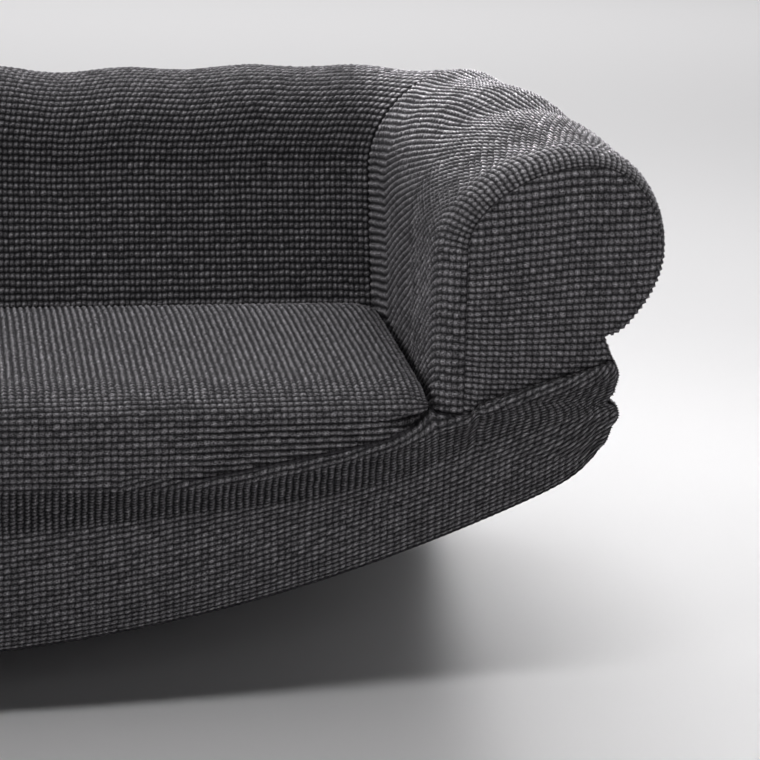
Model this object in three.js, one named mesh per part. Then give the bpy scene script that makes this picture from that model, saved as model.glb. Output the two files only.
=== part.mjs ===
// A stretch-knit slipcover for a rolled-arm sofa, as it hangs once it is pulled over the
// seat, back and arms. The cover is hollow and every panel is one closed thin sheet.
// Millimetres. X runs along the sofa, Y from front to back, Z up from the level hem.
// At the right front corner the skirt is pulled up, so its hem climbs towards that corner.

import * as THREE from 'three';
import { mergeVertices } from 'three/addons/utils/BufferGeometryUtils.js';

// ---------- driving dimensions ----------

const SHEET = 2.5;            // thickness of the knit
const SEAM_GAP = 0.3;         // each panel stops this far short of its seam line

// Heights above the level hem, shared by the arms and the back.
const CREVICE = 304;          // bottom of the tucks round the seat
const SPRING = 512;           // where the upright faces turn into the roll
const TOP = 644;              // top of the roll
const UNDER_ROLL = 113;       // depth of the roll below its spring line
const NECK_ANGLE = 66;        // degrees that the roll turns under before the neck
const NECK_RADIUS = 20;       // fillet from the roll into the outer side

// Sections across an arm and across the back: distances from the sofa's middle or front.
const ARM = { foot: 682, spring: 680, crown: 845, outer: 963, hem: 870 };
const BACK = { foot: 560, spring: 640, crown: 754, outer: 854, hem: 772 };

const ARM_TOE = 0.055;        // how much the inner faces of the arms open towards the back
const ARM_TOE_CENTRE = 300;   // depth at which the arms stand at their stated width
const CORNER_SOFTENING = 12;  // how far the corners of arm and back are rounded in
const CORNER_DIP = 12;        // how far the roll sinks at that corner's seam
const CORNER_REACH = 30;      // distance over which that rounding dies away

// The front edge of an arm turns through a quarter round to the front panel's seam.
const FRONT_ROUND = 45;
const FRONT_INSET = { inner: 37, crown: 20, outer: 9 };

// The seat and the front skirt.
const SEAT_FRONT = 342;       // height of the seat's front edge
const SEAT_REAR = 322;        // height of the seat just before the back
const SEAT_FRONT_RADIUS = 38;
const SEAT_SIDE_RADIUS = 46;
const SEAT_FRONT_Y = -12;
const SEAT_REAR_TUCK = 42;
const SEAT_PLAY = 2;          // room between the seat's edge and the arm

// The pulled-up corner: the hem climbs as a parabola from LIFT_START to the right corner.
const LIFT_START = -60;
const LIFT = 226;             // what the parabola climbs by the corner
const CORNER_LIFT = 20;       // a last upward turn at the corner itself

// The fold that the pull leaves across the front: distance along X, height above the hem.
const PULL_FOLD = [
  { x: -900, z: 303.4 },
  { x: -640, z: 303.4 },
  { x: -200, z: 262 },
  { x: 366, z: 232 },
  { x: 522, z: 262 },
  { x: 597, z: 276 },
  { x: 642, z: 292 },
  { x: 664, z: 303.4 },
  { x: 709, z: 303.4 },
  { x: 722, z: 318 },
  { x: 750, z: 328 },
  { x: 792, z: 342 },
  { x: 833, z: 353 },
  { x: 872, z: 364 },
  { x: 900, z: 374.5 },
];

// Soft humps and hollows in the arm's knit: station round the section, depth, height.
const ARM_SWELLS = [
  { station: 2.4, y: 440, height: 13, across: 0.8, along: 110 },
  { station: 2.25, y: 215, height: 9, across: 0.7, along: 95 },
  { station: 1.9, y: 330, height: -5, across: 0.5, along: 60 },
  { station: 0.7, y: 330, height: 4, across: 0.6, along: 150 },
  { station: 2.1, y: 640, height: -3, across: 0.7, along: 60 },
  { station: 3, y: 60, height: -2.5, across: 0.5, along: 120 },
  { station: 3.75, y: 10, height: 8, across: 0.3, along: 70 },
];

// Where the pulled hem bunches up below the right arm, the knit stands out from the side in
// puckers: height above the hem's level, how far they stand out or in, half width.
const BUNCH = 11;
const PUCKERS = [
  { z: 351.5, height: 23, width: 28 },
  { z: 316.7, height: 9.4, width: 20 },
  { z: 293, height: 26.6, width: 20.5 },
  { z: 264, height: 15.2, width: 15.8 },
];
const PUCKER_REACH = 130;

// Waves along the top of the back: wavelength along X, height, phase.
const BACK_WAVES = [
  { length: 587, height: 4.7, phase: 1.71 },
  { length: 307, height: 1.6, phase: 0.54 },
];
const BACK_SAG = 5;

// ---------- small helpers ----------

const clamp = THREE.MathUtils.clamp;
const lerp = THREE.MathUtils.lerp;
const radians = THREE.MathUtils.degToRad;
const bell = (value) => Math.exp(-value * value);
const range = (first, last, count) =>
  Array.from({ length: count + 1 }, (_, i) => lerp(first, last, i / count));

function readTable(table, key, column, at) {
  const next = table.findIndex((row) => row[key] >= at);
  if (next < 0) return table[table.length - 1][column];
  if (next === 0) return table[0][column];
  const low = table[next - 1];
  const high = table[next];
  return lerp(low[column], high[column], (at - low[key]) / (high[key] - low[key]));
}

// ---------- the section that arms and back share ----------

// Shares of the way from the neck, or from the fold across the front, down to the hem.
const DROPS = [0, 0.07, 0.14, 0.22, 0.31, 0.41, 0.52, 0.64, 0.76, 0.88, 1];

// Stations along the section: 0-1 upright face, 1-2 up the inside of the roll, 2-3 down
// the outside, 3-4 under it, 4-5 the neck's fillet and 5-6 the drop to the hem.
const STATIONS = [
  ...range(0, 1, 4),
  ...range(1, 2, 6).slice(1),
  ...range(2, 3, 6).slice(1),
  ...range(3, 4, 4).slice(1),
  ...range(4, 5, 2).slice(1),
  ...DROPS.slice(1).map((share) => 5 + share),
];

function sectionPoint(section, station, hem) {
  const part = Math.min(Math.floor(station), 5);
  const share = station - part;
  const turn = share * Math.PI / 2;
  const neck = radians(NECK_ANGLE);
  const reach = section.outer - section.crown;
  if (part === 0) {
    return [lerp(section.foot, section.spring, share), lerp(CREVICE, SPRING, share)];
  }
  if (part === 1) {
    return [
      section.crown - (section.crown - section.spring) * Math.cos(turn),
      SPRING + (TOP - SPRING) * Math.sin(turn),
    ];
  }
  if (part === 2) {
    return [section.crown + reach * Math.sin(turn), SPRING + (TOP - SPRING) * Math.cos(turn)];
  }
  if (part === 3) {
    const under = neck * share;
    return [section.crown + reach * Math.cos(under), SPRING - UNDER_ROLL * Math.sin(under)];
  }
  const neckStart = [
    section.crown + reach * Math.cos(neck),
    SPRING - UNDER_ROLL * Math.sin(neck),
  ];
  const bend = neck * (part === 4 ? 1 - share : 0);
  const neckPoint = [
    neckStart[0] - NECK_RADIUS * (Math.cos(bend) - Math.cos(neck)),
    neckStart[1] - NECK_RADIUS * (Math.sin(neck) - Math.sin(bend)),
  ];
  if (part === 4) return neckPoint;
  return [lerp(neckPoint[0], section.hem, share), lerp(neckPoint[1], hem, share)];
}

// Columns across the seat and the back, as shares of the way from the middle to an arm.
const ACROSS = [0, 0.2, 0.4, 0.58, 0.73, 0.85, 0.93, 0.975, 1];
// Columns of the skirt past the arm's inner edge: round to the front panel's seam, then on
// to the outer corner, which is at 2.
const CORNER_SHARES = [1.06, 1.11];
const FOLD_SHARES = [1.2, 1.34, 1.5, 1.65, 1.79, 1.91, 2];
const bothSides = (half) => [...half.slice(1).reverse().map((share) => -share), ...half];

// The section's point, moved in from the outer face of the knit by `depth`.
function sectionAt(section, station, depth = 0, hem = 0) {
  const step = 0.01;
  const before = sectionPoint(section, Math.max(station - step, 0), hem);
  const after = sectionPoint(section, Math.min(station + step, 6), hem);
  const run = [after[0] - before[0], after[1] - before[1]];
  const length = Math.hypot(run[0], run[1]);
  const normal = [-run[1] / length, run[0] / length];
  const [across, height] = sectionPoint(section, station, hem);
  return {
    across: across - normal[0] * depth,
    height: height - normal[1] * depth,
    normal,
  };
}

// How far the corner between arm and back is rounded in at this station.
const softening = (station) => CORNER_SOFTENING * (1 - 0.6 * bell((station - 2) / 0.7));

// How far the roll sinks beside that corner's seam.
const seamDip = (station, fromSeam) =>
  CORNER_DIP * bell((station - 2) / 0.7) * Math.exp(-Math.abs(fromSeam) / CORNER_REACH);

// ---------- hem and pulled-up corner ----------

function frontHem(x, cornerX) {
  const share = Math.max(x - LIFT_START, 0) / (cornerX - LIFT_START);
  return LIFT * share ** 2 + CORNER_LIFT * Math.exp((x - cornerX) / CORNER_LIFT);
}

function sideHem(y, lifted) {
  if (!lifted) return 0;
  const rear = BACK.hem - CORNER_SOFTENING;
  return (LIFT + CORNER_LIFT) * (1 - clamp(y / rear, 0, 1) ** 1.15);
}

// ---------- the arms ----------

const toe = (station, y) =>
  ARM_TOE * (y - ARM_TOE_CENTRE) * Math.cos(Math.PI / 2 * clamp(station - 1, 0, 1)) ** 2;

function pucker(station, height, y, lifted) {
  if (!lifted || station < 4) return 0;
  const folds = PUCKERS.reduce(
    (total, row) => total + row.height * bell((height - row.z) / row.width), 0);
  return (BUNCH + folds) * Math.min(station - 4, 1) * Math.exp(-y / PUCKER_REACH);
}

function swell(station, y) {
  return ARM_SWELLS.reduce((total, row) =>
    total + row.height * bell((station - row.station) / row.across)
      * bell((y - row.y) / row.along), 0);
}

// Depth of the seam between arm and back.
function seamDepth(station, depth) {
  return sectionAt(BACK, station, depth).across - softening(station);
}

// A point of the right arm: station round the section, distance back from the front seam.
function armPoint(station, fromSeam, lifted, depth = 0) {
  const quarter = FRONT_ROUND * Math.PI / 2;
  const turn = Math.min(fromSeam / FRONT_ROUND, Math.PI / 2);
  const outerY = FRONT_ROUND * (1 - Math.cos(turn)) + Math.max(fromSeam - quarter, 0);
  const hem = sideHem(outerY, lifted);
  const frame = sectionAt(ARM, station, 0, hem);
  const inset = station < 2
    ? lerp(FRONT_INSET.inner, FRONT_INSET.crown, clamp(station - 1, 0, 1))
    : lerp(FRONT_INSET.crown, FRONT_INSET.outer, clamp(station - 2, 0, 1));
  const inwards = inset * (1 - Math.sin(turn)) + depth * Math.sin(turn)
    - swell(station, outerY);
  const y = outerY + depth * Math.cos(turn);
  const seam = seamDepth(station, depth);
  const fade = Math.exp(-Math.max(seam - y, 0) / CORNER_REACH);
  const x = frame.across - frame.normal[0] * inwards + toe(station, y)
    - softening(station) * fade + pucker(station, frame.height, y, lifted);
  const z = frame.height - frame.normal[1] * inwards - seamDip(station, seam - y);
  return new THREE.Vector3(x, y, z);
}

function armPanel(lifted) {
  const quarter = FRONT_ROUND * Math.PI / 2;
  const shares = [0, 0.03, 0.06, 0.09, 0.17, 0.29, 0.42, 0.55, 0.68, 0.8, 0.9, 0.965, 1];
  const layer = (depth) => STATIONS.map((station) => shares.map((share) => {
    const rear = seamDepth(station, depth) - FRONT_ROUND + quarter - SEAM_GAP;
    return armPoint(station, lerp(SEAM_GAP, rear, share), lifted, depth);
  }));
  return sheetBetween(layer(0), layer(SHEET), true);
}

// ---------- the arm's front panel ----------

const foldHeight = (x) => readTable(PULL_FOLD, 'x', 'z', x);

// The seam round the front of an arm, from the seat up over the roll and down to `low`.
function frontSeam(lifted, low) {
  const seam = STATIONS.map((station) => armPoint(station, 0, lifted));
  const past = seam.findIndex((point, i) => STATIONS[i] > 3 && point.z <= low);
  const [above, below] = [seam[past - 1], seam[past]];
  const last = above.clone().lerp(below, (above.z - low) / (above.z - below.z));
  return [...seam.slice(0, past), last];
}

function armFrontPanel(lifted) {
  const inset = (lifted ? 5 : 3) * SEAM_GAP;
  const height = (x) => (lifted ? foldHeight(x) : CREVICE);
  const seam = frontSeam(lifted, height(skirtPoint(2, 0).x) + inset);
  const start = seam[0];
  const end = seam[seam.length - 1];
  const bottom = FOLD_SHARES.slice(1, -1).reverse()
    .map((share) => Math.abs(skirtPoint(lifted ? share : -share, 0).x))
    .map((x) => new THREE.Vector3(x, 0, height(x) + inset));
  const loop = [...seam, ...bottom];
  const centre = new THREE.Vector3();
  loop.forEach((point) => centre.addScaledVector(point, 1 / loop.length));
  const rings = [lifted ? 0.992 : 1, 0.92, 0.7, 0.38];
  const dome = (share) => -9 * (1 - share ** 4);
  const seated = drawnIn(loop, inset);
  const layer = (depth) => rings.map((share) => loop.map((point, i) => {
    const place = centre.clone().lerp(seated[i], share);
    return place.setY(dome(share) + depth);
  }));
  const tip = (depth) => centre.clone().setY(dome(0) + depth);
  return cappedSheet(layer(0), layer(SHEET), tip(0), tip(SHEET));
}

// A clockwise loop in the XZ plane, each point moved in square to the loop.
function drawnIn(loop, distance) {
  return loop.map((point, i) => {
    const before = loop[(i + loop.length - 1) % loop.length];
    const after = loop[(i + 1) % loop.length];
    const run = after.clone().sub(before).setY(0).normalize();
    return point.clone().add(new THREE.Vector3(run.z, 0, -run.x).multiplyScalar(distance));
  });
}

// ---------- the back ----------

function backPoint(station, share, depth = 0) {
  const frame = sectionAt(BACK, station, depth);
  const seam = seamDepth(station, depth);
  const quarter = FRONT_ROUND * Math.PI / 2;
  const edge = armPoint(station, seam - FRONT_ROUND + quarter, false, depth).x - SEAM_GAP;
  const x = edge * share;
  const fromSeam = edge - Math.abs(x);
  const open = 1 - Math.exp(-fromSeam / 60);
  const crest = bell((station - 2) / 0.9) * open;
  const dip = seamDip(station, fromSeam);
  const waves = BACK_WAVES.reduce((total, row) =>
    total + row.height * Math.sin(2 * Math.PI * x / row.length + row.phase), 0);
  const y = frame.across - softening(station) * Math.exp(-fromSeam / CORNER_REACH);
  return new THREE.Vector3(x, y, frame.height + crest * (waves - BACK_SAG) - dip);
}

function backPanel() {
  const shares = bothSides(ACROSS);
  const layer = (depth) => STATIONS.map((station) =>
    shares.map((share) => backPoint(station, share, depth)));
  return sheetBetween(layer(0), layer(SHEET));
}

// ---------- the seat and the front skirt, one T-shaped panel ----------

// The inner edge of an arm, which the seat meets: X at a given depth.
function seatEdge(y) {
  const quarter = FRONT_ROUND * Math.PI / 2;
  const fromSeam = Math.max(y, FRONT_ROUND) - FRONT_ROUND + quarter;
  return armPoint(0, fromSeam, false).x - SEAT_PLAY;
}

// How far out the front hangs: over the seat's edge, in below it, then straight down.
function frontBulge(x, z) {
  const middle = 0.25 + 0.75 * bell(Math.max(Math.abs(x) - 560, 0) / 80);
  return -4 - middle * (10 * bell((z - 262) / 70) - 8 * bell((z - 174) / 45));
}

// The fold's ridge and groove, strongest at the pulled corner.
function foldRelief(x, z) {
  const strength = THREE.MathUtils.smoothstep(x, 180, 520);
  const below = foldHeight(x) - z;
  return strength * (9 * bell((below + 7) / 9) - 7 * bell((below - 14) / 17));
}

// The front seam of an arm where it meets the skirt: the X that the skirt reaches.
function skirtEnd(z, right) {
  const hem = sideHem(0, right);
  const neck = sectionPoint(ARM, 5, hem)[1];
  const station = 5 + clamp((neck - z) / (neck - hem), 0, 1);
  return armPoint(station, 0, right).x - (right ? 5 : 3) * SEAM_GAP;
}

// In the corner below an arm's inner edge the skirt dips in to the arm's quarter round.
function cornerDip(x, below) {
  const fromEdge = Math.abs(x) - seatEdge(0) - SEAT_PLAY;
  const share = 1 - clamp(fromEdge / FRONT_INSET.inner, 0, 1);
  const edgeFade = bell(Math.min(fromEdge, 0) / SEAT_SIDE_RADIUS);
  return FRONT_ROUND * (1 - Math.sqrt(1 - share ** 2)) * bell(below / 16) * edgeFade;
}

function seatTop(y) {
  const rear = BACK.foot - CORNER_SOFTENING;
  const share = clamp(y / rear, 0, 1);
  return lerp(SEAT_FRONT, SEAT_REAR, share) + 5 * Math.sin(Math.PI * share);
}

// Drop of the seat's rounded side at a distance in from its edge.
function sideDrop(fromEdge, full) {
  const share = clamp(1 - fromEdge / SEAT_SIDE_RADIUS, 0, 1);
  return full * (1 - Math.sqrt(1 - share ** 2));
}

// A point of the seat: share across, then 0-1 from the rear tuck to the fold's line.
function seatPoint(share, row) {
  const fromEdge = (1 - Math.abs(share)) * seatEdge(BACK.foot);
  const rear = BACK.foot - 2 * SEAM_GAP - softening(0) * Math.exp(-fromEdge / CORNER_REACH);
  const roundStart = SEAT_FRONT_Y + SEAT_FRONT_RADIUS;
  if (row <= 0.25) {
    const turn = row / 0.25 * Math.PI / 2;
    const y = rear - SEAT_REAR_TUCK * (1 - Math.cos(turn));
    const rise = (seatTop(y) - CREVICE) * Math.sin(turn);
    return seatAcross(share, y, CREVICE + rise, rise);
  }
  if (row <= 0.7) {
    const y = lerp(rear - SEAT_REAR_TUCK, roundStart, (row - 0.25) / 0.45);
    return seatAcross(share, y, seatTop(y), seatTop(y) - CREVICE);
  }
  const turn = (row - 0.7) / 0.3 * Math.PI / 2;
  const y = roundStart - SEAT_FRONT_RADIUS * Math.sin(turn);
  const z = SEAT_FRONT - SEAT_FRONT_RADIUS * (1 - Math.cos(turn));
  return seatAcross(share, y, z, z - CREVICE);
}

function seatAcross(share, y, z, full) {
  const edge = seatEdge(y);
  const x = edge * share;
  const drop = sideDrop(edge - Math.abs(x), 1);
  const set = new THREE.Vector3(x, y, z - drop * full);
  if (y < FRONT_ROUND) set.y = lerp(y, FRONT_ROUND, drop);
  return set;
}

// A point of the skirt: X, then 0-1 from the fold's line down to the hem.
function skirtPoint(share, drop) {
  const right = share > 0;
  const reach = Math.abs(share);
  const edge = seatEdge(0);
  const top = (x) => (Math.abs(x) < edge ? CREVICE : foldHeight(x) - SEAM_GAP);
  const guess = (z) => (reach <= 1 ? edge * reach
    : lerp(edge, skirtEnd(z, right), reach - 1)) * (right ? 1 : -1);
  const cornerX = skirtEnd(0, true);
  const hem = (x) => (x > LIFT_START ? frontHem(x, cornerX) : 0);
  let z = lerp(top(guess(200)), hem(guess(200)), drop);
  for (let pass = 0; pass < 4; pass += 1) {
    z = lerp(top(guess(z)), hem(guess(z)), drop);
  }
  const x = guess(z);
  const below = top(x) - z;
  const tuck = reach > 1 ? 8 * bell(below / 7) : 0;
  const relief = right ? foldRelief(x, z) : 0;
  const blend = Math.abs(x) < edge ? bell(below / 20) : 0;
  const y = lerp(frontBulge(x, z) + relief, SEAT_FRONT_Y, blend) + cornerDip(x, below) + tuck;
  return new THREE.Vector3(x, y, z);
}

function seatAndSkirtPanel() {
  const shares = bothSides([...ACROSS, ...CORNER_SHARES, ...FOLD_SHARES]);
  const seatRows = [...range(0, 0.25, 3), ...range(0.25, 0.7, 6).slice(1),
    ...range(0.7, 1, 4).slice(1)];
  const outer = [
    ...seatRows.map((row) => shares.map((share) => seatPoint(clamp(share, -1, 1), row))),
    ...DROPS.slice(1).map((row) => shares.map((share) => skirtPoint(share, row))),
  ];
  const seatEnd = seatRows.length - 1;
  shares.forEach((share, i) => {
    if (Math.abs(share) > 1) outer[seatEnd][i] = skirtPoint(share, 0);
  });
  const keep = (row, column) => row >= seatEnd
    || Math.max(Math.abs(shares[column]), Math.abs(shares[column + 1])) <= 1;
  return sheetBetween(outer, sunkLayer(outer, keep), true, keep);
}

// ---------- closed sheets from grids of points ----------

// The grid moved in by the sheet's thickness along its own normals.
function sunkLayer(grid, keep) {
  const rows = grid.length;
  const columns = grid[0].length;
  const normals = grid.map((line) => line.map(() => new THREE.Vector3()));
  for (let i = 0; i < rows - 1; i += 1) {
    for (let j = 0; j < columns - 1; j += 1) {
      if (keep(i, j)) {
        const down = grid[i + 1][j + 1].clone().sub(grid[i][j]);
        const over = grid[i][j + 1].clone().sub(grid[i + 1][j]);
        const face = over.cross(down).normalize();
        [[i, j], [i + 1, j], [i, j + 1], [i + 1, j + 1]].forEach(([a, b]) =>
          normals[a][b].add(face));
      }
    }
  }
  return grid.map((line, i) => line.map((point, j) =>
    point.clone().addScaledVector(normals[i][j].normalize(), SHEET)));
}

// Joins an outer and an inner grid into one closed solid; `keep` leaves cells out.
function sheetBetween(outer, inner, flip = false, keep = () => true) {
  const rows = outer.length;
  const columns = outer[0].length;
  const points = [...outer.flat(), ...inner.flat()];
  const index = (layer, i, j) => layer * rows * columns + i * columns + j;
  const kept = (i, j) => i >= 0 && j >= 0 && i < rows - 1 && j < columns - 1 && keep(i, j);
  const quads = [];
  for (let i = 0; i < rows - 1; i += 1) {
    for (let j = 0; j < columns - 1; j += 1) {
      if (kept(i, j)) {
        const [a, b, c, d] = [[i, j], [i, j + 1], [i + 1, j + 1], [i + 1, j]];
        quads.push([index(0, ...a), index(0, ...b), index(0, ...c), index(0, ...d)]);
        quads.push([index(1, ...d), index(1, ...c), index(1, ...b), index(1, ...a)]);
        const rim = (p, q) => quads.push(
          [index(0, ...q), index(0, ...p), index(1, ...p), index(1, ...q)]);
        if (!kept(i - 1, j)) rim(a, b);
        if (!kept(i, j + 1)) rim(b, c);
        if (!kept(i + 1, j)) rim(c, d);
        if (!kept(i, j - 1)) rim(d, a);
      }
    }
  }
  return solidFrom(points, quads, flip);
}

// A sheet of closed rings that shrink to one point.
function cappedSheet(outer, inner, outerTip, innerTip) {
  const count = outer[0].length;
  const rings = outer.length;
  const points = [...outer.flat(), ...inner.flat(), outerTip, innerTip];
  const index = (layer, ring, i) => layer * rings * count + ring * count + i % count;
  const tip = (layer) => 2 * rings * count + layer;
  const quads = [];
  for (let i = 0; i < count; i += 1) {
    for (let ring = 0; ring < rings - 1; ring += 1) {
      quads.push([index(0, ring, i), index(0, ring, i + 1),
        index(0, ring + 1, i + 1), index(0, ring + 1, i)]);
      quads.push([index(1, ring + 1, i), index(1, ring + 1, i + 1),
        index(1, ring, i + 1), index(1, ring, i)]);
    }
    quads.push([index(0, rings - 1, i), index(0, rings - 1, i + 1), tip(0)]);
    quads.push([index(1, rings - 1, i + 1), index(1, rings - 1, i), tip(1)]);
    quads.push([index(0, 0, i + 1), index(0, 0, i), index(1, 0, i), index(1, 0, i + 1)]);
  }
  return solidFrom(points, quads, true);
}

function solidFrom(points, faces, flip) {
  const corners = faces.flatMap((face) => (face.length === 3
    ? [face]
    : [[face[0], face[1], face[2]], [face[0], face[2], face[3]]]));
  const order = flip ? corners.map(([a, b, c]) => [a, c, b]) : corners;
  const geometry = new THREE.BufferGeometry();
  geometry.setAttribute('position',
    new THREE.Float32BufferAttribute(points.flatMap((point) => point.toArray()), 3));
  geometry.setIndex(order.flat());
  const merged = mergeVertices(geometry, 1e-4);
  const index = Array.from(merged.getIndex().array);
  const isWhole = (i) => new Set(index.slice(i - i % 3, i - i % 3 + 3)).size === 3;
  merged.setIndex(index.filter((vertex, i) => isWhole(i)));
  return merged;
}

// The left side's panels are the right side's, seen in a mirror.
function mirrored(geometry) {
  const turned = geometry.clone().scale(-1, 1, 1);
  const index = turned.getIndex();
  for (let i = 0; i < index.count; i += 3) {
    const last = index.getX(i + 2);
    index.setX(i + 2, index.getX(i + 1));
    index.setX(i + 1, last);
  }
  return turned;
}

// ---------- the cover ----------

const knit = () => new THREE.MeshStandardMaterial({
  color: 0x36363a, roughness: 0.92, metalness: 0,
});

function panel(name, geometry) {
  const mesh = new THREE.Mesh(geometry, knit());
  mesh.name = name;
  mesh.geometry.computeVertexNormals();
  return mesh;
}

const cover = new THREE.Group();
cover.add(
  panel('seat_and_skirt', seatAndSkirtPanel()),
  panel('back', backPanel()),
  panel('arm_right', armPanel(true)),
  panel('arm_left', mirrored(armPanel(false))),
  panel('arm_front_right', armFrontPanel(true)),
  panel('arm_front_left', mirrored(armFrontPanel(false))),
);

// The origin is under the middle of the cover, level with its hem.
const middle = new THREE.Box3().setFromObject(cover).getCenter(new THREE.Vector3());
cover.position.set(-middle.x, -middle.y, 0);

export default cover;
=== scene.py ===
"""Looks of a bubble-knit slipcover, stretched over a rolled-arm sofa that isn't shown.

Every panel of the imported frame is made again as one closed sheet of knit. A panel is a smooth
surface of two parameters, on which the rows and columns of knitted bubbles lie. The surfaces
work in millimetres, with X from the sofa's middle, Y from the arms' fronts and Z from the level
hem, and a finished piece is moved into the frame in metres.
"""

import logging
import math
from collections.abc import Callable
from dataclasses import dataclass, field
from enum import Enum

import bpy
import numpy as np
from mathutils import Matrix, Vector


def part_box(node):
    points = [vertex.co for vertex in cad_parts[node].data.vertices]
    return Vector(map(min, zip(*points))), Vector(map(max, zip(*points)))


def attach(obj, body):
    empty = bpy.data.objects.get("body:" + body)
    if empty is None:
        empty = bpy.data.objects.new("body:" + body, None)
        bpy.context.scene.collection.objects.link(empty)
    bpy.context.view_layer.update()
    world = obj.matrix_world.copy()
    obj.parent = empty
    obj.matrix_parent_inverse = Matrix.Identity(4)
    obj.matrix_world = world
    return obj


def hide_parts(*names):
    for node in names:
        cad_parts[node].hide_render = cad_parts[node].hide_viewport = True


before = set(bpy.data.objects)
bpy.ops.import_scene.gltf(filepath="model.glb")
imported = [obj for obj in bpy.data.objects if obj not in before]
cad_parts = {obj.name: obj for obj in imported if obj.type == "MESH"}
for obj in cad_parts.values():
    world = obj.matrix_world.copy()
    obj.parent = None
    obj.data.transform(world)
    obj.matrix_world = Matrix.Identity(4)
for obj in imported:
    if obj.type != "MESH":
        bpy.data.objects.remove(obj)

LOG = logging.getLogger("slipcover")
Array = np.ndarray
MM = 0.001

# ---------- dimensions of the fitted cover, in millimetres ----------

SHEET = 3.4  # thickness of the knit
SEAM_GAP = 0.3  # from a panel's edge to its seam line
CREVICE = 304.0  # height at which the seat meets the arms and the back
SPRING = 512.0  # height at which the rolls start
TOP = 644.0  # height of the rolls' crowns
UNDER_ROLL = 113.0  # half height of the ellipse that turns under a roll
NECK_ANGLE = math.radians(66)  # how far a roll turns under
NECK_RADIUS = 20.0  # fillet between a roll and the outer drop
CORNER_SOFTENING = 12.0  # rounding of the corner between arm and back
CORNER_DIP = 8.0  # how far the roll sinks at that corner
CORNER_REACH = 30.0  # how far along the cloth both die away
CROWN_SPREAD = 0.7  # how far from the crown both reach, in stations
CROWN_TIGHTNESS = 0.6  # share of the rounding that the crown goes without
FRONT_ROUND = 45.0  # radius of an arm's front edge
QUARTER = FRONT_ROUND * math.pi / 2  # length of its quarter round
LIFT_START = -60.0  # where the front hem starts to rise to the right
LIFT = 226.0  # how high it has risen at the right corner
CORNER_LIFT = 20.0  # its last turn up, in height and in reach
SIDE_HEM_BEND = 1.15  # how the pulled-up side hem falls to the rear
HEM_BAND = 6.0  # width of the hem
SEAT_FRONT = 342.0  # height of the seat's front edge
SEAT_REAR = 322.0  # and of its top by the back
SEAT_CROWN = 5.0  # how far the top swells between them
SEAT_FRONT_RADIUS = 38.0  # how high its front round is
SEAT_FRONT_REACH = 85.0  # how deep that is
SEAT_SIDE_RADIUS = 46.0  # its rounding beside the arms
SEAT_FRONT_Y = -12.0  # where its front edge is, just before the arms' fronts
SEAT_REAR_TUCK = 42.0  # depth of the round that goes down to the rear crevice
SEAT_REAR_SHARE = 0.25  # where that round ends, as a share of the way to the front
SEAT_FRONT_SHARE = 0.7  # where the front round starts
SEAT_PLAY = 2.0  # between the seat's edge and an arm's foot
FLOOR_BELOW_HEM = 88.0

# Stations round the cross-section that arms and back share.
AT_SPRING = 1.0
AT_CROWN = 2.0
AT_OUTSIDE = 3.0
AT_NECK = 4.0
AT_DROP = 5.0
AT_HEM = 6.0

SECTION_SAMPLES = 1201  # points at which curves are measured
ROW_SAMPLES = 801
LAG_SAMPLES = 401
SEAT_SAMPLES = 1001
TINY = 1e-9
ON_EDGE = 1e-7  # how near a panel's edge a node counts as on it
ON_SEAM = 1e-6  # and a seam or the fold


def bell(value: Array) -> Array:
    """Gives a soft hump: e to the power of minus the squared distance from its middle."""
    return np.exp(-np.square(value))


def ramp(value: Array, start: float, end: float) -> Array:
    """Gives a smooth step from 0 at the start to 1 at the end: 3 t squared minus 2 t cubed."""
    share = np.clip((value - start) / (end - start), 0, 1)
    return share * share * (3 - 2 * share)


def blend(low: Array, high: Array, share: Array) -> Array:
    """Mixes two values: the low one at share 0, the high one at share 1."""
    return low + (high - low) * share


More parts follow.
